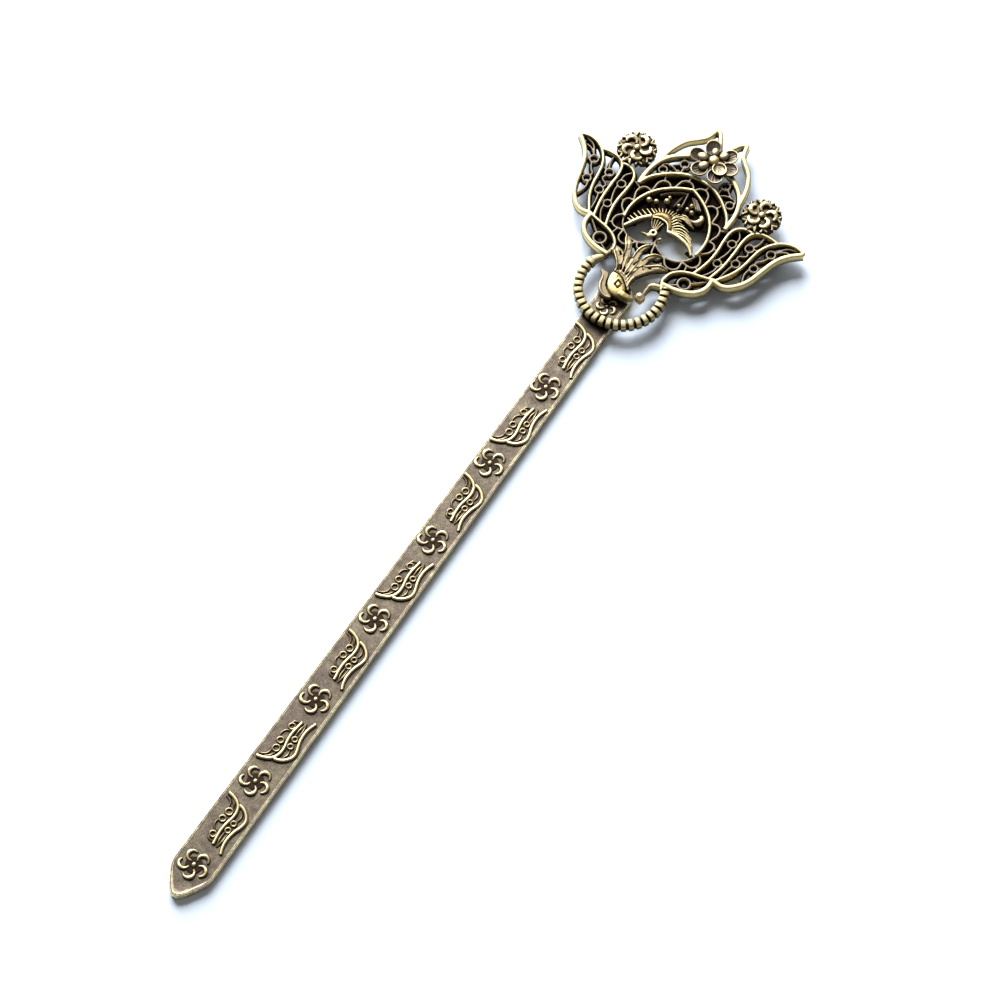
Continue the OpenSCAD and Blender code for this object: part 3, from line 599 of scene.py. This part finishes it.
def makeCrown():
    low, high, fine, thin = head["low"], head["high"], head["fineHigh"], head["fineWire"]
    shape = bmesh.new()
    castWires(shape, bothSides(crescent), head["wire"], low, high, foot=0.2)
    castWires(shape, bothSides(innerFrame), head["lightWire"], low, high, foot=0.5)
    castWires(shape, bothSides([lowerFrame]), thin, low, fine, foot=0.35)
    castWires(shape, bothSides(scallops), thin * 1.15, low, fine, foot=0.6)
    castWires(shape, bothSides(crownCurls), thin * 0.9, low, fine, foot=0.6)
    castWires(shape, bothHoops(crownHoops), thin, low, fine, closed=True, foot=0.6)
    for side in (1, -1):
        # a thin dark plate round the inner frame, partly painted shade
        plate(shape, [(side * x, y) for x, y in frameBackingAndShade], low, head["backingAndShadeHigh"])
        tipBall(shape, earTip, side, high)
    # a thin dark plate behind the tree, partly a backing and partly painted shade
    plate(shape, treeBackingAndShade, low, head["backingAndShadeHigh"])
    castWires(shape, twigs, thin, low, fine - 0.1, foot=0.3)
    sweep(shape, sideTwigs, head["sideTwig"], low, fine, taper=(0.8, 1, 1))
    sweep(shape, [darkLeaf], 0.5, low, fine - 0.2, taper=(0.6, 1, 0.9), flat=0.6)
    sweep(shape, [stub], 0.65, low, fine, taper=(1, 0.9, 1.2))
    sweep(shape, [hook], 1.0, low, fine + 0.25, taper=(0.5, 1, 0.8), flat=0.5)
    for x, y, radius in berries:
        pebble(shape, x, y, fine + head["berryLift"], radius, segments=16)
        drum(shape, x, y, radius * 0.5, low, fine, 12)
    sweep(shape, birdBars, head["birdBar"], low, head["seatHigh"], flat=0.6)
    return newPiece("openworkCrown", shape)


def makeRing():
    low, high = head["low"], head["high"]
    s = ringSet
    shape = bmesh.new()
    halfGap = s["gap"] / s["radius"] * 90 / pi
    starts = [s["first"] + s["step"] * k for k in range(s["notches"])]
    last = starts[-1]
    turns = [(start + halfGap, start + s["step"] - halfGap) for start in starts[:-1]]
    beads = [arcLine(s["x"], s["y"], s["radius"], a, b, 3) for a, b in turns]
    sweep(shape, beads, s["width"], low, high, steps=3, flat=0.2)
    lastBead = arcLine(s["x"], s["y"], s["radius"], last + halfGap, 360 + s["end"], 3)
    sweep(shape, [lastBead], s["width"], low, high, taper=(1, 0.95, 0.5), steps=3, flat=0.3)
    sweep(shape, [tongue], s["width"], low, high, taper=(0.88, 0.56, 0.25), flat=0.3)
    core = arcLine(s["x"], s["y"], s["radius"], s["first"], 360 + s["end"], 24)
    sweep(shape, [core], s["width"] * 0.8, low + 0.05, high - s["notchDepth"], flat=0.5)
    castWires(shape, [bracket], s["bracket"], low, high, foot=0.2, taper=(1, 1, 0.5))
    return newPiece("notchedRing", shape)


def makeBall():
    shape = bmesh.new()
    x, y, radius = ball["x"], ball["y"], ball["radius"]
    drum(shape, x, y, radius * ball["foot"], head["low"], head["high"] - 0.4)
    pebble(shape, x, y, head["high"] - ball["drop"], radius, ball["stretch"], segments=48)
    return newPiece("heldBall", shape)


fans, crown, ring, held = makeFans(), makeCrown(), makeRing(), makeBall()
castAsOne(fans, 0.09, 190000)
castAsOne(crown, 0.09, 180000)
castAsOne(ring, 0.075, 70000)
finish(fans, metals["openwork"], ["openwork_head"], placeHead)
finish(crown, metals["openwork"], [], placeHead)
finish(ring, metals["ring"], [], placeHead)
finish(held, metals["ball"], [], placeHead)
print("openwork done")

# Bird's head over the ring
bird = dict(
    low=1.75, plateHigh=2.92, edgeWidth=0.38, edgeHigh=3.28, ridgeWidth=0.26, spineWidth=0.8,
    spineDrop=0.24, faceLow=3.2,
    faceSteps=[(0.06, 0.08), (0.14, 0.1), (0.3, 0.1), (0.4, 0.07), (0.4, 0.03)],
    napeBand=[(-2.3, 2.6), (-1.4, 2.75), (-0.3, 2.3), (0.6, 1.4), (1.2, 0.3)],
    upperBeak=[(0.4, -1.15), (1.2, -1.2), (2.1, -1.1), (3.1, -0.8)], upperWidth=1.2, upperTop=3.74,
    lowerBeak=[(0.3, -1.6), (1.1, -1.75), (1.7, -1.75), (2.3, -1.45)], lowerWidth=0.6, lowerTop=3.1,
    collarHigh=2.78, collarSteps=[(0.06, 0.06), (0.12, 0.05)], collarRim=0.5, collarRimLift=0.3,
    # the eye is a carved lozenge, whose corners are measured in eye radii
    eyeX=-0.7, eyeY=0.08, eye=0.66,
    lozenge=[(-0.5, 1.12), (0.72, 0.5), (0.62, -1.1), (-0.78, -0.5), (-0.5, 1.12)])
face = [(-2.85, 1.99), (-1.8, 2.02), (-0.67, 1.57), (0.39, 0.62), (0.97, -0.1), (1.07, -0.72),
        (1.0, -1.34), (0.64, -1.9), (0.0, -2.18), (-0.88, -2.1), (-1.67, -1.69), (-2.3, -1.02),
        (-2.66, -0.29), (-2.86, 0.67), (-2.95, 1.44)]
# Both edges of each crest feather from the root to the tip, first the left one
feathers = [
    ([(-2.79, 2.72), (-3.18, 3.7), (-3.82, 4.52), (-4.75, 5.43), (-5.6, 6.3), (-6.1, 6.9)],
     [(-3.4, 6.35), (-3.9, 6.7), (-4.69, 6.97), (-5.5, 7.05), (-6.1, 6.95)]),
    ([(-3.35, 6.4), (-3.5, 7.0), (-4.0, 8.0), (-4.65, 8.95), (-5.05, 9.95)],
     [(-2.15, 6.45), (-2.5, 7.13), (-2.78, 8.07), (-3.29, 8.95), (-4.1, 9.5), (-5.0, 10.0)]),
    ([(-1.6, 6.4), (-1.66, 7.72), (-1.52, 8.63), (-1.2, 9.35), (-0.65, 10.1), (-0.1, 10.4)],
     [(-0.68, 6.6), (-0.74, 7.76), (-0.62, 9.0), (-0.25, 9.95), (-0.05, 10.35)]),
    ([(0.0, 6.8), (0.37, 7.81), (1.01, 8.64), (1.8, 9.2), (2.55, 9.38)],
     [(1.0, 6.0), (1.05, 7.25), (1.5, 8.2), (2.06, 9.0), (2.6, 9.35)]),
    ([(1.1, 5.98), (1.83, 6.42), (2.59, 7.0), (3.41, 7.48), (4.3, 7.6), (5.0, 7.5)],
     [(0.8, 3.13), (1.25, 3.85), (1.75, 4.6), (2.5, 5.6), (3.52, 6.45), (4.47, 7.1), (5.0, 7.45)])]
crestFoot = [(-2.9, 1.4), (-2.79, 2.72)]
crestSide = [(0.8, 3.13), (0.6, 2.33), (0.62, 1.53), (0.75, 0.7)]
ridges = [[(-3.0, 5.7), (-2.7, 4.3), (-2.35, 2.5)], [(-2.5, 5.9), (-2.0, 4.2), (-1.75, 2.5)],
          [(-1.3, 6.2), (-1.2, 4.4), (-1.1, 2.5)], [(-0.3, 6.4), (-0.35, 4.4), (-0.35, 2.0)],
          [(0.6, 5.9), (0.15, 4.2), (0.1, 1.6)]]
slots = [[(-2.45, 4.0), (-2.05, 3.2)], [(-1.75, 3.95), (-1.42, 3.1)], [(-0.62, 3.5), (-0.75, 2.8)],
         [(-4.2, 6.3), (-3.7, 5.85)]]
creases = [[(-3.3, 6.3), (-2.7, 5.0)], [(-1.9, 6.4), (-1.75, 5.1)], [(-0.3, 6.6), (-0.65, 5.2)],
           [(0.9, 5.9), (0.1, 4.9)], [(2.2, 6.3), (0.9, 4.4)], [(-2.75, 3.9), (-2.5, 2.8)],
           [(0.1, 4.0), (-0.2, 2.6)]]
collarOuter = [(-5.09, 1.51), (-4.62, 1.13), (-4.15, 0.66), (-3.85, -0.19), (-3.6, -1.18),
               (-3.2, -1.91), (-2.61, -2.48), (-1.91, -2.8), (-1.37, -2.9), (-0.54, -2.63)]
collarInner = [(-4.3, 1.6), (-3.6, 1.6), (-3.3, 1.3), (-3.05, 0.6), (-2.85, -0.2), (-2.45, -0.95),
               (-1.9, -1.55), (-1.2, -1.95), (-0.5, -2.15)]


def cushion(target, outline, low, high, steps):
    # A plate whose top rises in steps to a soft crown
    base = target.faces.new([target.verts.new((x, y, low)) for x, y in outline])
    faceUp(base)
    grown = bmesh.ops.extrude_face_region(target, geom=[base])["geom"]
    top = next(f for f in grown if isinstance(f, bmesh.types.BMFace))
    bmesh.ops.translate(target, verts=top.verts[:], vec=(0, 0, high - low))
    for width, rise in steps:
        bmesh.ops.inset_region(target, faces=[top], thickness=width, depth=rise, use_even_offset=True)


def makeBird():
    low, edge, top = bird["low"], bird["edgeWidth"], bird["edgeHigh"]
    shape = bmesh.new()
    outline = list(crestFoot[:1])
    for left, right in feathers:
        outline += left + right[::-1]
    outline += crestSide[1:]
    plate(shape, outline, low, bird["plateHigh"])
    for left, right in feathers:
        # a bright upper edge over a solid leaf with a soft spine
        spine = [((ax + bx) / 2, (ay + by) / 2) for (ax, ay), (bx, by) in zip(left[-4:], right[-4:])]
        sweep(shape, [left], edge, low, top, taper=(0.7, 1, 0.7))
        sweep(shape, [spine], bird["spineWidth"], low, top - bird["spineDrop"], taper=(0.9, 1, 0.3),
              flat=0.3)
    sweep(shape, [crestFoot, crestSide], edge, low, top - 0.2)
    sweep(shape, ridges, bird["ridgeWidth"], top - 0.34, taper=(0.6, 1, 0.8), flat=0.7)
    sweep(shape, [bird["napeBand"]], 0.5, low, top - 0.28)
    cushion(shape, face, low, bird["faceLow"], bird["faceSteps"])
    sweep(shape, [bird["upperBeak"]], bird["upperWidth"], low, bird["upperTop"],
          taper=(0.95, 0.85, 0.4), flat=0.18)
    sweep(shape, [bird["lowerBeak"]], bird["lowerWidth"], low, bird["lowerTop"], taper=(1.2, 0.85, 0.4),
          flat=0.5)
    cushion(shape, collarOuter + collarInner[::-1], low, bird["collarHigh"], bird["collarSteps"])
    collarTop = bird["collarHigh"] + bird["collarRimLift"]
    sweep(shape, [collarOuter], bird["collarRim"], low, collarTop, taper=(0.6, 1, 0.9), flat=0.6)
    piece = newPiece("birdHead", shape)
    castAsOne(piece, 0.06, 110000)
    x, y, size = bird["eyeX"], bird["eyeY"], bird["eye"]
    carve(piece, [[(x + size * px, y + size * py) for px, py in bird["lozenge"]]], 0.2, 0.3)
    carve(piece, slots, 0.17, 0.5)
    carve(piece, creases, 0.14, 0.2)
    # a groove sets the face off from the collar and the nape
    groove = [(px * 1.07 + 0.05, py * 1.08) for px, py in face]
    carve(piece, [groove[-4:] + groove[:5]], 0.15, 0.3)
    return piece


finish(makeBird(), metals["bird"], ["phoenix_head"], placeHead)
print("bird's head done")

# Small flying bird
crane = dict(
    low=2.1, leftTop=3.3, rightTop=3.32, bodyHigh=2.6, bodySteps=[(0.1, 0.14), (0.12, 0.1)],
    flankTop=3.2, vaneHigh=2.35, tailHigh=2.5, neckHigh=2.3, eyeTop=3.3, pupilTop=2.55,
    cheekMiddle=2.8, beakTop=2.9,
    # width, top and taper of the fine strokes
    strokes=dict(barbs=(0.33, 3.16, (0.8, 1.1, 0.75)), quills=(0.44, 3.02, (1, 1, 0.7)),
                 fringe=(0.3, 2.95, (1, 1, 0.7)), tailVeins=(0.38, 3.05, (0.7, 1, 0.5)),
                 neck=(0.24, 2.95, (1, 0.9, 0.8))),
    leftRib=[(-6.48, 11.25), (-5.86, 12.38), (-5.09, 13.66), (-4.28, 14.66), (-3.4, 15.4)],
    rightRib=[(0.73, 14.25), (1.52, 14.39), (2.7, 14.38), (4.02, 14.16), (5.38, 13.65),
              (6.3, 12.95), (6.85, 12.3)],
    body=[(-3.63, 15.5), (-3.3, 16.64), (-2.51, 17.4), (-1.37, 17.7), (-0.2, 17.5), (0.1, 16.66),
          (0.6, 15.77), (1.06, 14.71), (0.73, 14.19), (0.48, 14.8), (-0.17, 15.63), (-1.14, 15.93),
          (-2.17, 15.89), (-3.07, 15.45)],
    spine=[(-3.4, 15.5), (-2.9, 16.15), (-2.0, 16.75), (-0.94, 16.8), (0.0, 16.3), (0.55, 15.3),
           (0.85, 14.3)],
    vane=[(-0.3, 17.5), (0.98, 17.78), (1.7, 17.5), (2.53, 16.95), (3.97, 16.2), (5.26, 15.15),
          (6.11, 14.0), (6.55, 13.2), (6.8, 12.5), (5.38, 13.65), (4.02, 14.16), (2.7, 14.38),
          (1.52, 14.39), (0.73, 14.19), (0.2, 15.8)],
    barbs=[[(0.0, 16.8), (0.35, 17.45), (0.98, 17.75)], [(0.3, 16.27), (0.82, 17.15), (1.7, 17.45)],
           [(0.6, 15.9), (1.35, 16.75), (2.53, 16.85)],
           [(0.85, 15.45), (1.81, 16.35), (3.09, 16.45), (3.97, 16.14)],
           [(1.05, 15.1), (2.41, 15.9), (3.9, 15.7), (5.26, 15.05)],
           [(1.2, 14.85), (3.0, 15.4), (4.7, 15.0), (6.05, 13.95)],
           [(1.3, 14.65), (3.4, 14.98), (5.2, 14.35), (6.5, 13.2)]],
    tail=[(0.3, 18.2), (0.9, 18.8), (1.6, 18.95), (2.4, 18.7), (3.3, 18.3), (4.25, 17.5),
          (3.36, 17.5), (2.36, 17.66), (1.3, 17.9)],
    tailVeins=[[(0.3, 17.9), (1.5, 18.4), (2.8, 18.1), (4.2, 17.5)],
               [(0.9, 18.7), (1.7, 18.85), (2.6, 18.5), (3.4, 18.1)],
               [(0.8, 17.8), (1.8, 18.05), (2.8, 17.75), (3.8, 17.55)]],
    quills=[[(-5.75, 12.7), (-6.85, 12.95)], [(-5.4, 13.25), (-6.75, 13.65)],
            [(-5.0, 13.9), (-6.5, 14.45)], [(-4.5, 14.55), (-6.1, 15.2)],
            [(-3.95, 15.15), (-5.6, 15.9)], [(-3.5, 15.75), (-5.0, 16.5)],
            [(-3.2, 16.35), (-4.35, 16.95)]],
    fringe=[[(-3.0, 16.8), (-3.85, 17.3)], [(-2.6, 17.1), (-3.3, 17.75)],
            [(-2.15, 17.35), (-2.7, 18.1)], [(-1.7, 17.5), (-2.0, 18.4)],
            [(-1.25, 17.6), (-1.35, 18.55)], [(-0.8, 17.6), (-0.7, 18.6)],
            [(-0.4, 17.5), (-0.05, 18.7)], [(-0.1, 17.35), (0.55, 18.7)],
            [(0.2, 17.1), (1.05, 18.5)]],
    neck=[[(-3.15, 15.3), (-2.7, 14.5), (-2.0, 13.5)], [(-2.6, 15.5), (-2.25, 14.6), (-1.8, 13.5)],
          [(-2.05, 15.6), (-1.85, 14.6), (-1.55, 13.5)],
          [(-1.4, 15.5), (-1.45, 14.6), (-1.35, 13.5)],
          [(-0.85, 15.4), (-1.05, 14.6), (-1.15, 13.6)]],
    neckPlate=[(-3.1, 15.4), (-2.2, 13.6), (-2.0, 12.6), (-1.2, 12.0), (-0.8, 13.2), (-0.7, 15.6)],
    beak=[(-1.7, 11.85), (-2.6, 11.95), (-3.45, 11.85)], eye=(-1.22, 12.62, 0.5),
    cheek=(-1.55, 11.95, 0.62), backWidth=1.4, backMiddle=2.7)


def makeCrane():
    low = crane["low"]
    shape = bmesh.new()
    sweep(shape, [crane["leftRib"]], 0.6, low, crane["leftTop"], taper=(0.8, 1, 1.1), flat=0.5)
    sweep(shape, [crane["rightRib"]], 0.7, low, crane["rightTop"], taper=(0.9, 1, 0.7), flat=0.5)
    cushion(shape, crane["body"], low, crane["bodyHigh"], crane["bodySteps"])
    flank = crane["body"][-6:][::-1]
    sweep(shape, [flank], 0.4, low, crane["flankTop"], taper=(0.8, 1, 0.8), flat=0.5)
    plate(shape, crane["vane"], low, crane["vaneHigh"])
    plate(shape, crane["tail"], low, crane["tailHigh"])
    plate(shape, crane["neckPlate"], low, crane["neckHigh"])
    for name, (width, top, taper) in crane["strokes"].items():
        sweep(shape, crane[name], width, low, top, taper=taper)
    x, y, radius = crane["eye"]
    sweep(shape, [circleLine(x, y, radius)], 0.48, low, crane["eyeTop"], closed=True, flat=0.5)
    drum(shape, x, y, radius, low, crane["pupilTop"], 20)
    x, y, radius = crane["cheek"]
    pebble(shape, x, y, crane["cheekMiddle"], radius, (1.15, 0.95, 0.7), 20, segments=16)
    sweep(shape, [crane["beak"]], 0.7, low, crane["beakTop"], taper=(1.1, 0.8, 0.3))
    piece = newPiece("flyingBird", shape)
    castAsOne(piece, 0.055, 110000)
    return piece


def makeBack():
    # the rubbed, more golden back from the left wing over the body to the right wing
    shape = bmesh.new()
    sweep(shape, [crane["spine"]], crane["backWidth"], crane["backMiddle"], taper=(0.45, 1.1, 0.4),
          flat=0.5)
    return newPiece("flyingBirdBack", shape)


finish(makeCrane(), metals["crane"], ["crane"], placeHead)
finish(makeBack(), metals["back"], [], placeHead)
print("flying bird done")

# Blossom on the crescent
blossom = dict(
    y=31.0, low=3.3, seat=2.2, seatHigh=0.3, ball=1.0, ballLift=0.6, ballStretch=(1, 1, 0.66),
    leaf=0.2, rimWidth=0.38, rimInset=0.16, ribWidth=0.24, cup=0.3, cupSteps=(0.15, 0.2, 0.2, 0.2),
    # for each petal: turn, distance, radius, height of the heel, lean
    outer=[(48, 3.1, 1.4, 0.0, 10), (123, 2.8, 1.45, 0.0, 10), (187, 3.25, 1.4, 0.0, 9),
           (244, 3.15, 1.5, 0.0, 7), (305, 3.25, 1.5, 0.1, 4), (0, 3.3, 1.45, 0.1, 4)],
    inner=[(328, 2.2, 1.3, 0.45, 4)],
    # the other four inner petals are full knobs
    knobs=[(60, 2.1, 0.94), (113, 1.85, 0.88), (187, 2.15, 1.02), (240, 2.1, 1.0)], knobLift=0.42,
    knobStretch=(1.08, 0.86, 0.58))


def petal(target, turn, distance, radius, low, lean):
    # A cupped leaf with a thin rolled rim and three ribs, leaning outwards from its heel
    bowl = bmesh.new()
    disc = bmesh.ops.create_circle(bowl, cap_ends=True, segments=24, radius=radius)["verts"]
    base = disc[0].link_faces[0]
    faceUp(base)
    grown = bmesh.ops.extrude_face_region(bowl, geom=[base])["geom"]
    top = next(f for f in grown if isinstance(f, bmesh.types.BMFace))
    leaf = blossom["leaf"]
    bmesh.ops.translate(bowl, verts=top.verts[:], vec=(0, 0, leaf))
    # rings of edges let the leaf bend to a cup
    for share in blossom["cupSteps"]:
        bmesh.ops.inset_region(bowl, faces=[top], thickness=radius * share, depth=0)
        bmesh.ops.inset_region(bowl, faces=[base], thickness=radius * share, depth=0)
    rim = circleLine(0, 0, radius - blossom["rimInset"], 12)
    sweep(bowl, [rim], blossom["rimWidth"], leaf + 0.02, closed=True, steps=2)
    ribs = [[(-0.6, 0), (0.1, k * 0.3), (0.85, k * 0.5)] for k in (-1, 0, 1)]
    ribs = [[(radius * x, radius * y) for x, y in rib] for rib in ribs]
    sweep(bowl, ribs, blossom["ribWidth"], leaf - 0.04, taper=(0.8, 1, 0.6), steps=3)
    for corner in bowl.verts:
        corner.co.z += blossom["cup"] * (corner.co.xy.length / radius) ** 2
    heel = Matrix.Translation((distance, 0, low + radius * sin(radians(lean))))
    tilt = Matrix.Rotation(radians(-lean), 4, "Y")
    place = Matrix.Rotation(radians(turn), 4, "Z") @ heel @ tilt @ Matrix.Diagonal((1.1, 1, 1, 1))
    bmesh.ops.transform(bowl, matrix=place, verts=bowl.verts)
    loose = bpy.data.meshes.new("petal")
    bowl.to_mesh(loose)
    bowl.free()
    target.from_mesh(loose)
    bpy.data.meshes.remove(loose)


def makeBlossom():
    shape = bmesh.new()
    low = blossom["low"]
    drum(shape, 0, 0, blossom["seat"], low, low + blossom["seatHigh"])
    for turn, distance, radius, rise, lean in blossom["outer"] + blossom["inner"]:
        petal(shape, turn, distance, radius, low + rise - 0.2, lean)
    for turn, distance, radius in blossom["knobs"]:
        x, y = turned([(distance, 0)], turn)[0]
        pebble(shape, x, y, low + blossom["knobLift"], radius, blossom["knobStretch"], turn)
    pebble(shape, 0, 0, low + blossom["ballLift"], blossom["ball"], blossom["ballStretch"])
    piece = newPiece("blossomFlower", shape)
    castAsOne(piece, 0.06, 90000)
    return piece


placeBlossom = placeHead @ Matrix.Translation((0, blossom["y"], 0))
finish(makeBlossom(), metals["blossom"], ["blossom"], placeBlossom)
print("blossom done")

# Round flowers
rosette = dict(
    low=2.1, radius=3.7, plateHigh=1.0, plateShare=0.72, crownShare=0.7, lobes=10, lobe=0.95,
    lobeMiddle=0.55, notch=2.65, rimWidth=0.46, rimTop=1.46, leafWidth=0.5, leafTop=1.5, arm=0.98,
    armTurn=21, armWidth=0.9, armTop=1.95)


def makeRosette(name, flip):
    shape = bmesh.new()
    low, reach, high = rosette["low"], rosette["radius"], rosette["low"] + rosette["plateHigh"]
    drum(shape, 0, 0, reach * rosette["plateShare"], low, high)
    pebble(shape, 0, 0, high, reach * rosette["crownShare"], (1, 1, 0.1))
    step = 360 / rosette["lobes"]
    for k in range(rosette["lobes"]):
        turn = 90 + step * (k + 0.5)
        # the leaves hang over the two lobes nearest the head
        if abs(turn - 270) > 25:
            size = rosette["lobe"]
            spot = (reach - size) * cos(radians(turn)), (reach - size) * sin(radians(turn))
            pebble(shape, *spot, low + rosette["lobeMiddle"], size, (1.0, 0.9, 0.68), turn, segments=16)
        # bright rims of the notch between two lobes
        inner = rosette["notch"]
        rims = [[(inner, 0), (inner + 0.4, s * 0.22), (reach - 0.22, s * 0.62)] for s in (1, -1)]
        rims = [turned(rim, 90 + step * k) for rim in rims]
        sweep(shape, rims, rosette["rimWidth"], low + 0.3, low + rosette["rimTop"], flat=0.7)
    leaves = [[(s * 0.15, -2.2), (s * 0.45, -3.0), (s * 0.8, -3.8)] for s in (1, -1)]
    sweep(shape, leaves, rosette["leafWidth"], low + 1.05, low + rosette["leafTop"],
          taper=(0.8, 1, 0.5))
    pinwheel(shape, 0, 0, rosette["arm"], rosette["armTurn"], low + rosette["armTop"], flip,
             width=rosette["armWidth"], deep=1.1, bead=(0.55, 0.66, 0.3), flat=0.3)
    piece = newPiece(name, shape)
    castAsOne(piece, 0.06, 75000)
    return piece


for side, word in ((-1, "Left"), (1, "Right")):
    place = placeHead @ Matrix.Translation((side * rosetteSet["x"], rosetteSet["y"], 0))
    flower = makeRosette("rosette" + word, side)
    finish(flower, metals["rosette"], ["rosette_" + word.lower()], place)
print("round flowers done")

# Floor, light and camera
# Metres and watts: one soft box behind the picture, and a dim warm sky
studio = dict(floor=2.0, keyPlace=(-0.77, 0.77, 0.66), keyTarget=(0, 0.02, 0), keySize=1.0,
              keyPower=53.0, keyTone="ffffff", skyTone="f2ece2", sky=0.22, paperTone="dce8f8")
floorShape = bmesh.new()
bmesh.ops.create_grid(floorShape, x_segments=1, y_segments=1, size=studio["floor"])
floor = newPiece("floor", floorShape)
# Matt uncoated paper: a plain pale ground with soft, slightly cool shadows
paper = bpy.data.materials.new("whitePaper")
paper.use_nodes = True
matt = paper.node_tree.nodes["Principled BSDF"].inputs
matt["Base Color"].default_value = tone(studio["paperTone"])
matt["Roughness"].default_value = 0.9
floor.data.materials.append(paper)

keyData = bpy.data.lights.new("keyLight", "AREA")
keyData.shape = "SQUARE"
keyData.size = studio["keySize"]
keyData.energy = studio["keyPower"]
keyData.color = tone(studio["keyTone"])[:3]
key = bpy.data.objects.new("keyLight", keyData)
bpy.context.collection.objects.link(key)
key.location = studio["keyPlace"]
aim = Vector(studio["keyTarget"]) - Vector(studio["keyPlace"])
key.rotation_euler = aim.to_track_quat("-Z", "Y").to_euler()
world = bpy.data.worlds.new("studio")
world.use_nodes = True
sky = world.node_tree.nodes["Background"].inputs
sky["Color"].default_value = tone(studio["skyTone"])
sky["Strength"].default_value = studio["sky"]
bpy.context.scene.world = world
bpy.context.scene.view_settings.view_transform = "Standard"

# In millimetres, at the angle and with the framing of the photograph
view = dict(place=(208.4, -308.3, 683.1), target=(4.56, 4.03, 0.0), lens=162.58)
cameraData = bpy.data.cameras.new("camera")
cameraData.lens = view["lens"]
cameraData.sensor_width = 36.0
camera = bpy.data.objects.new("camera", cameraData)
bpy.context.collection.objects.link(camera)
camera.location = Vector(view["place"]) * metre
aim = Vector(view["target"]) - Vector(view["place"])
camera.rotation_euler = aim.to_track_quat("-Z", "Y").to_euler()
bpy.context.scene.camera = camera
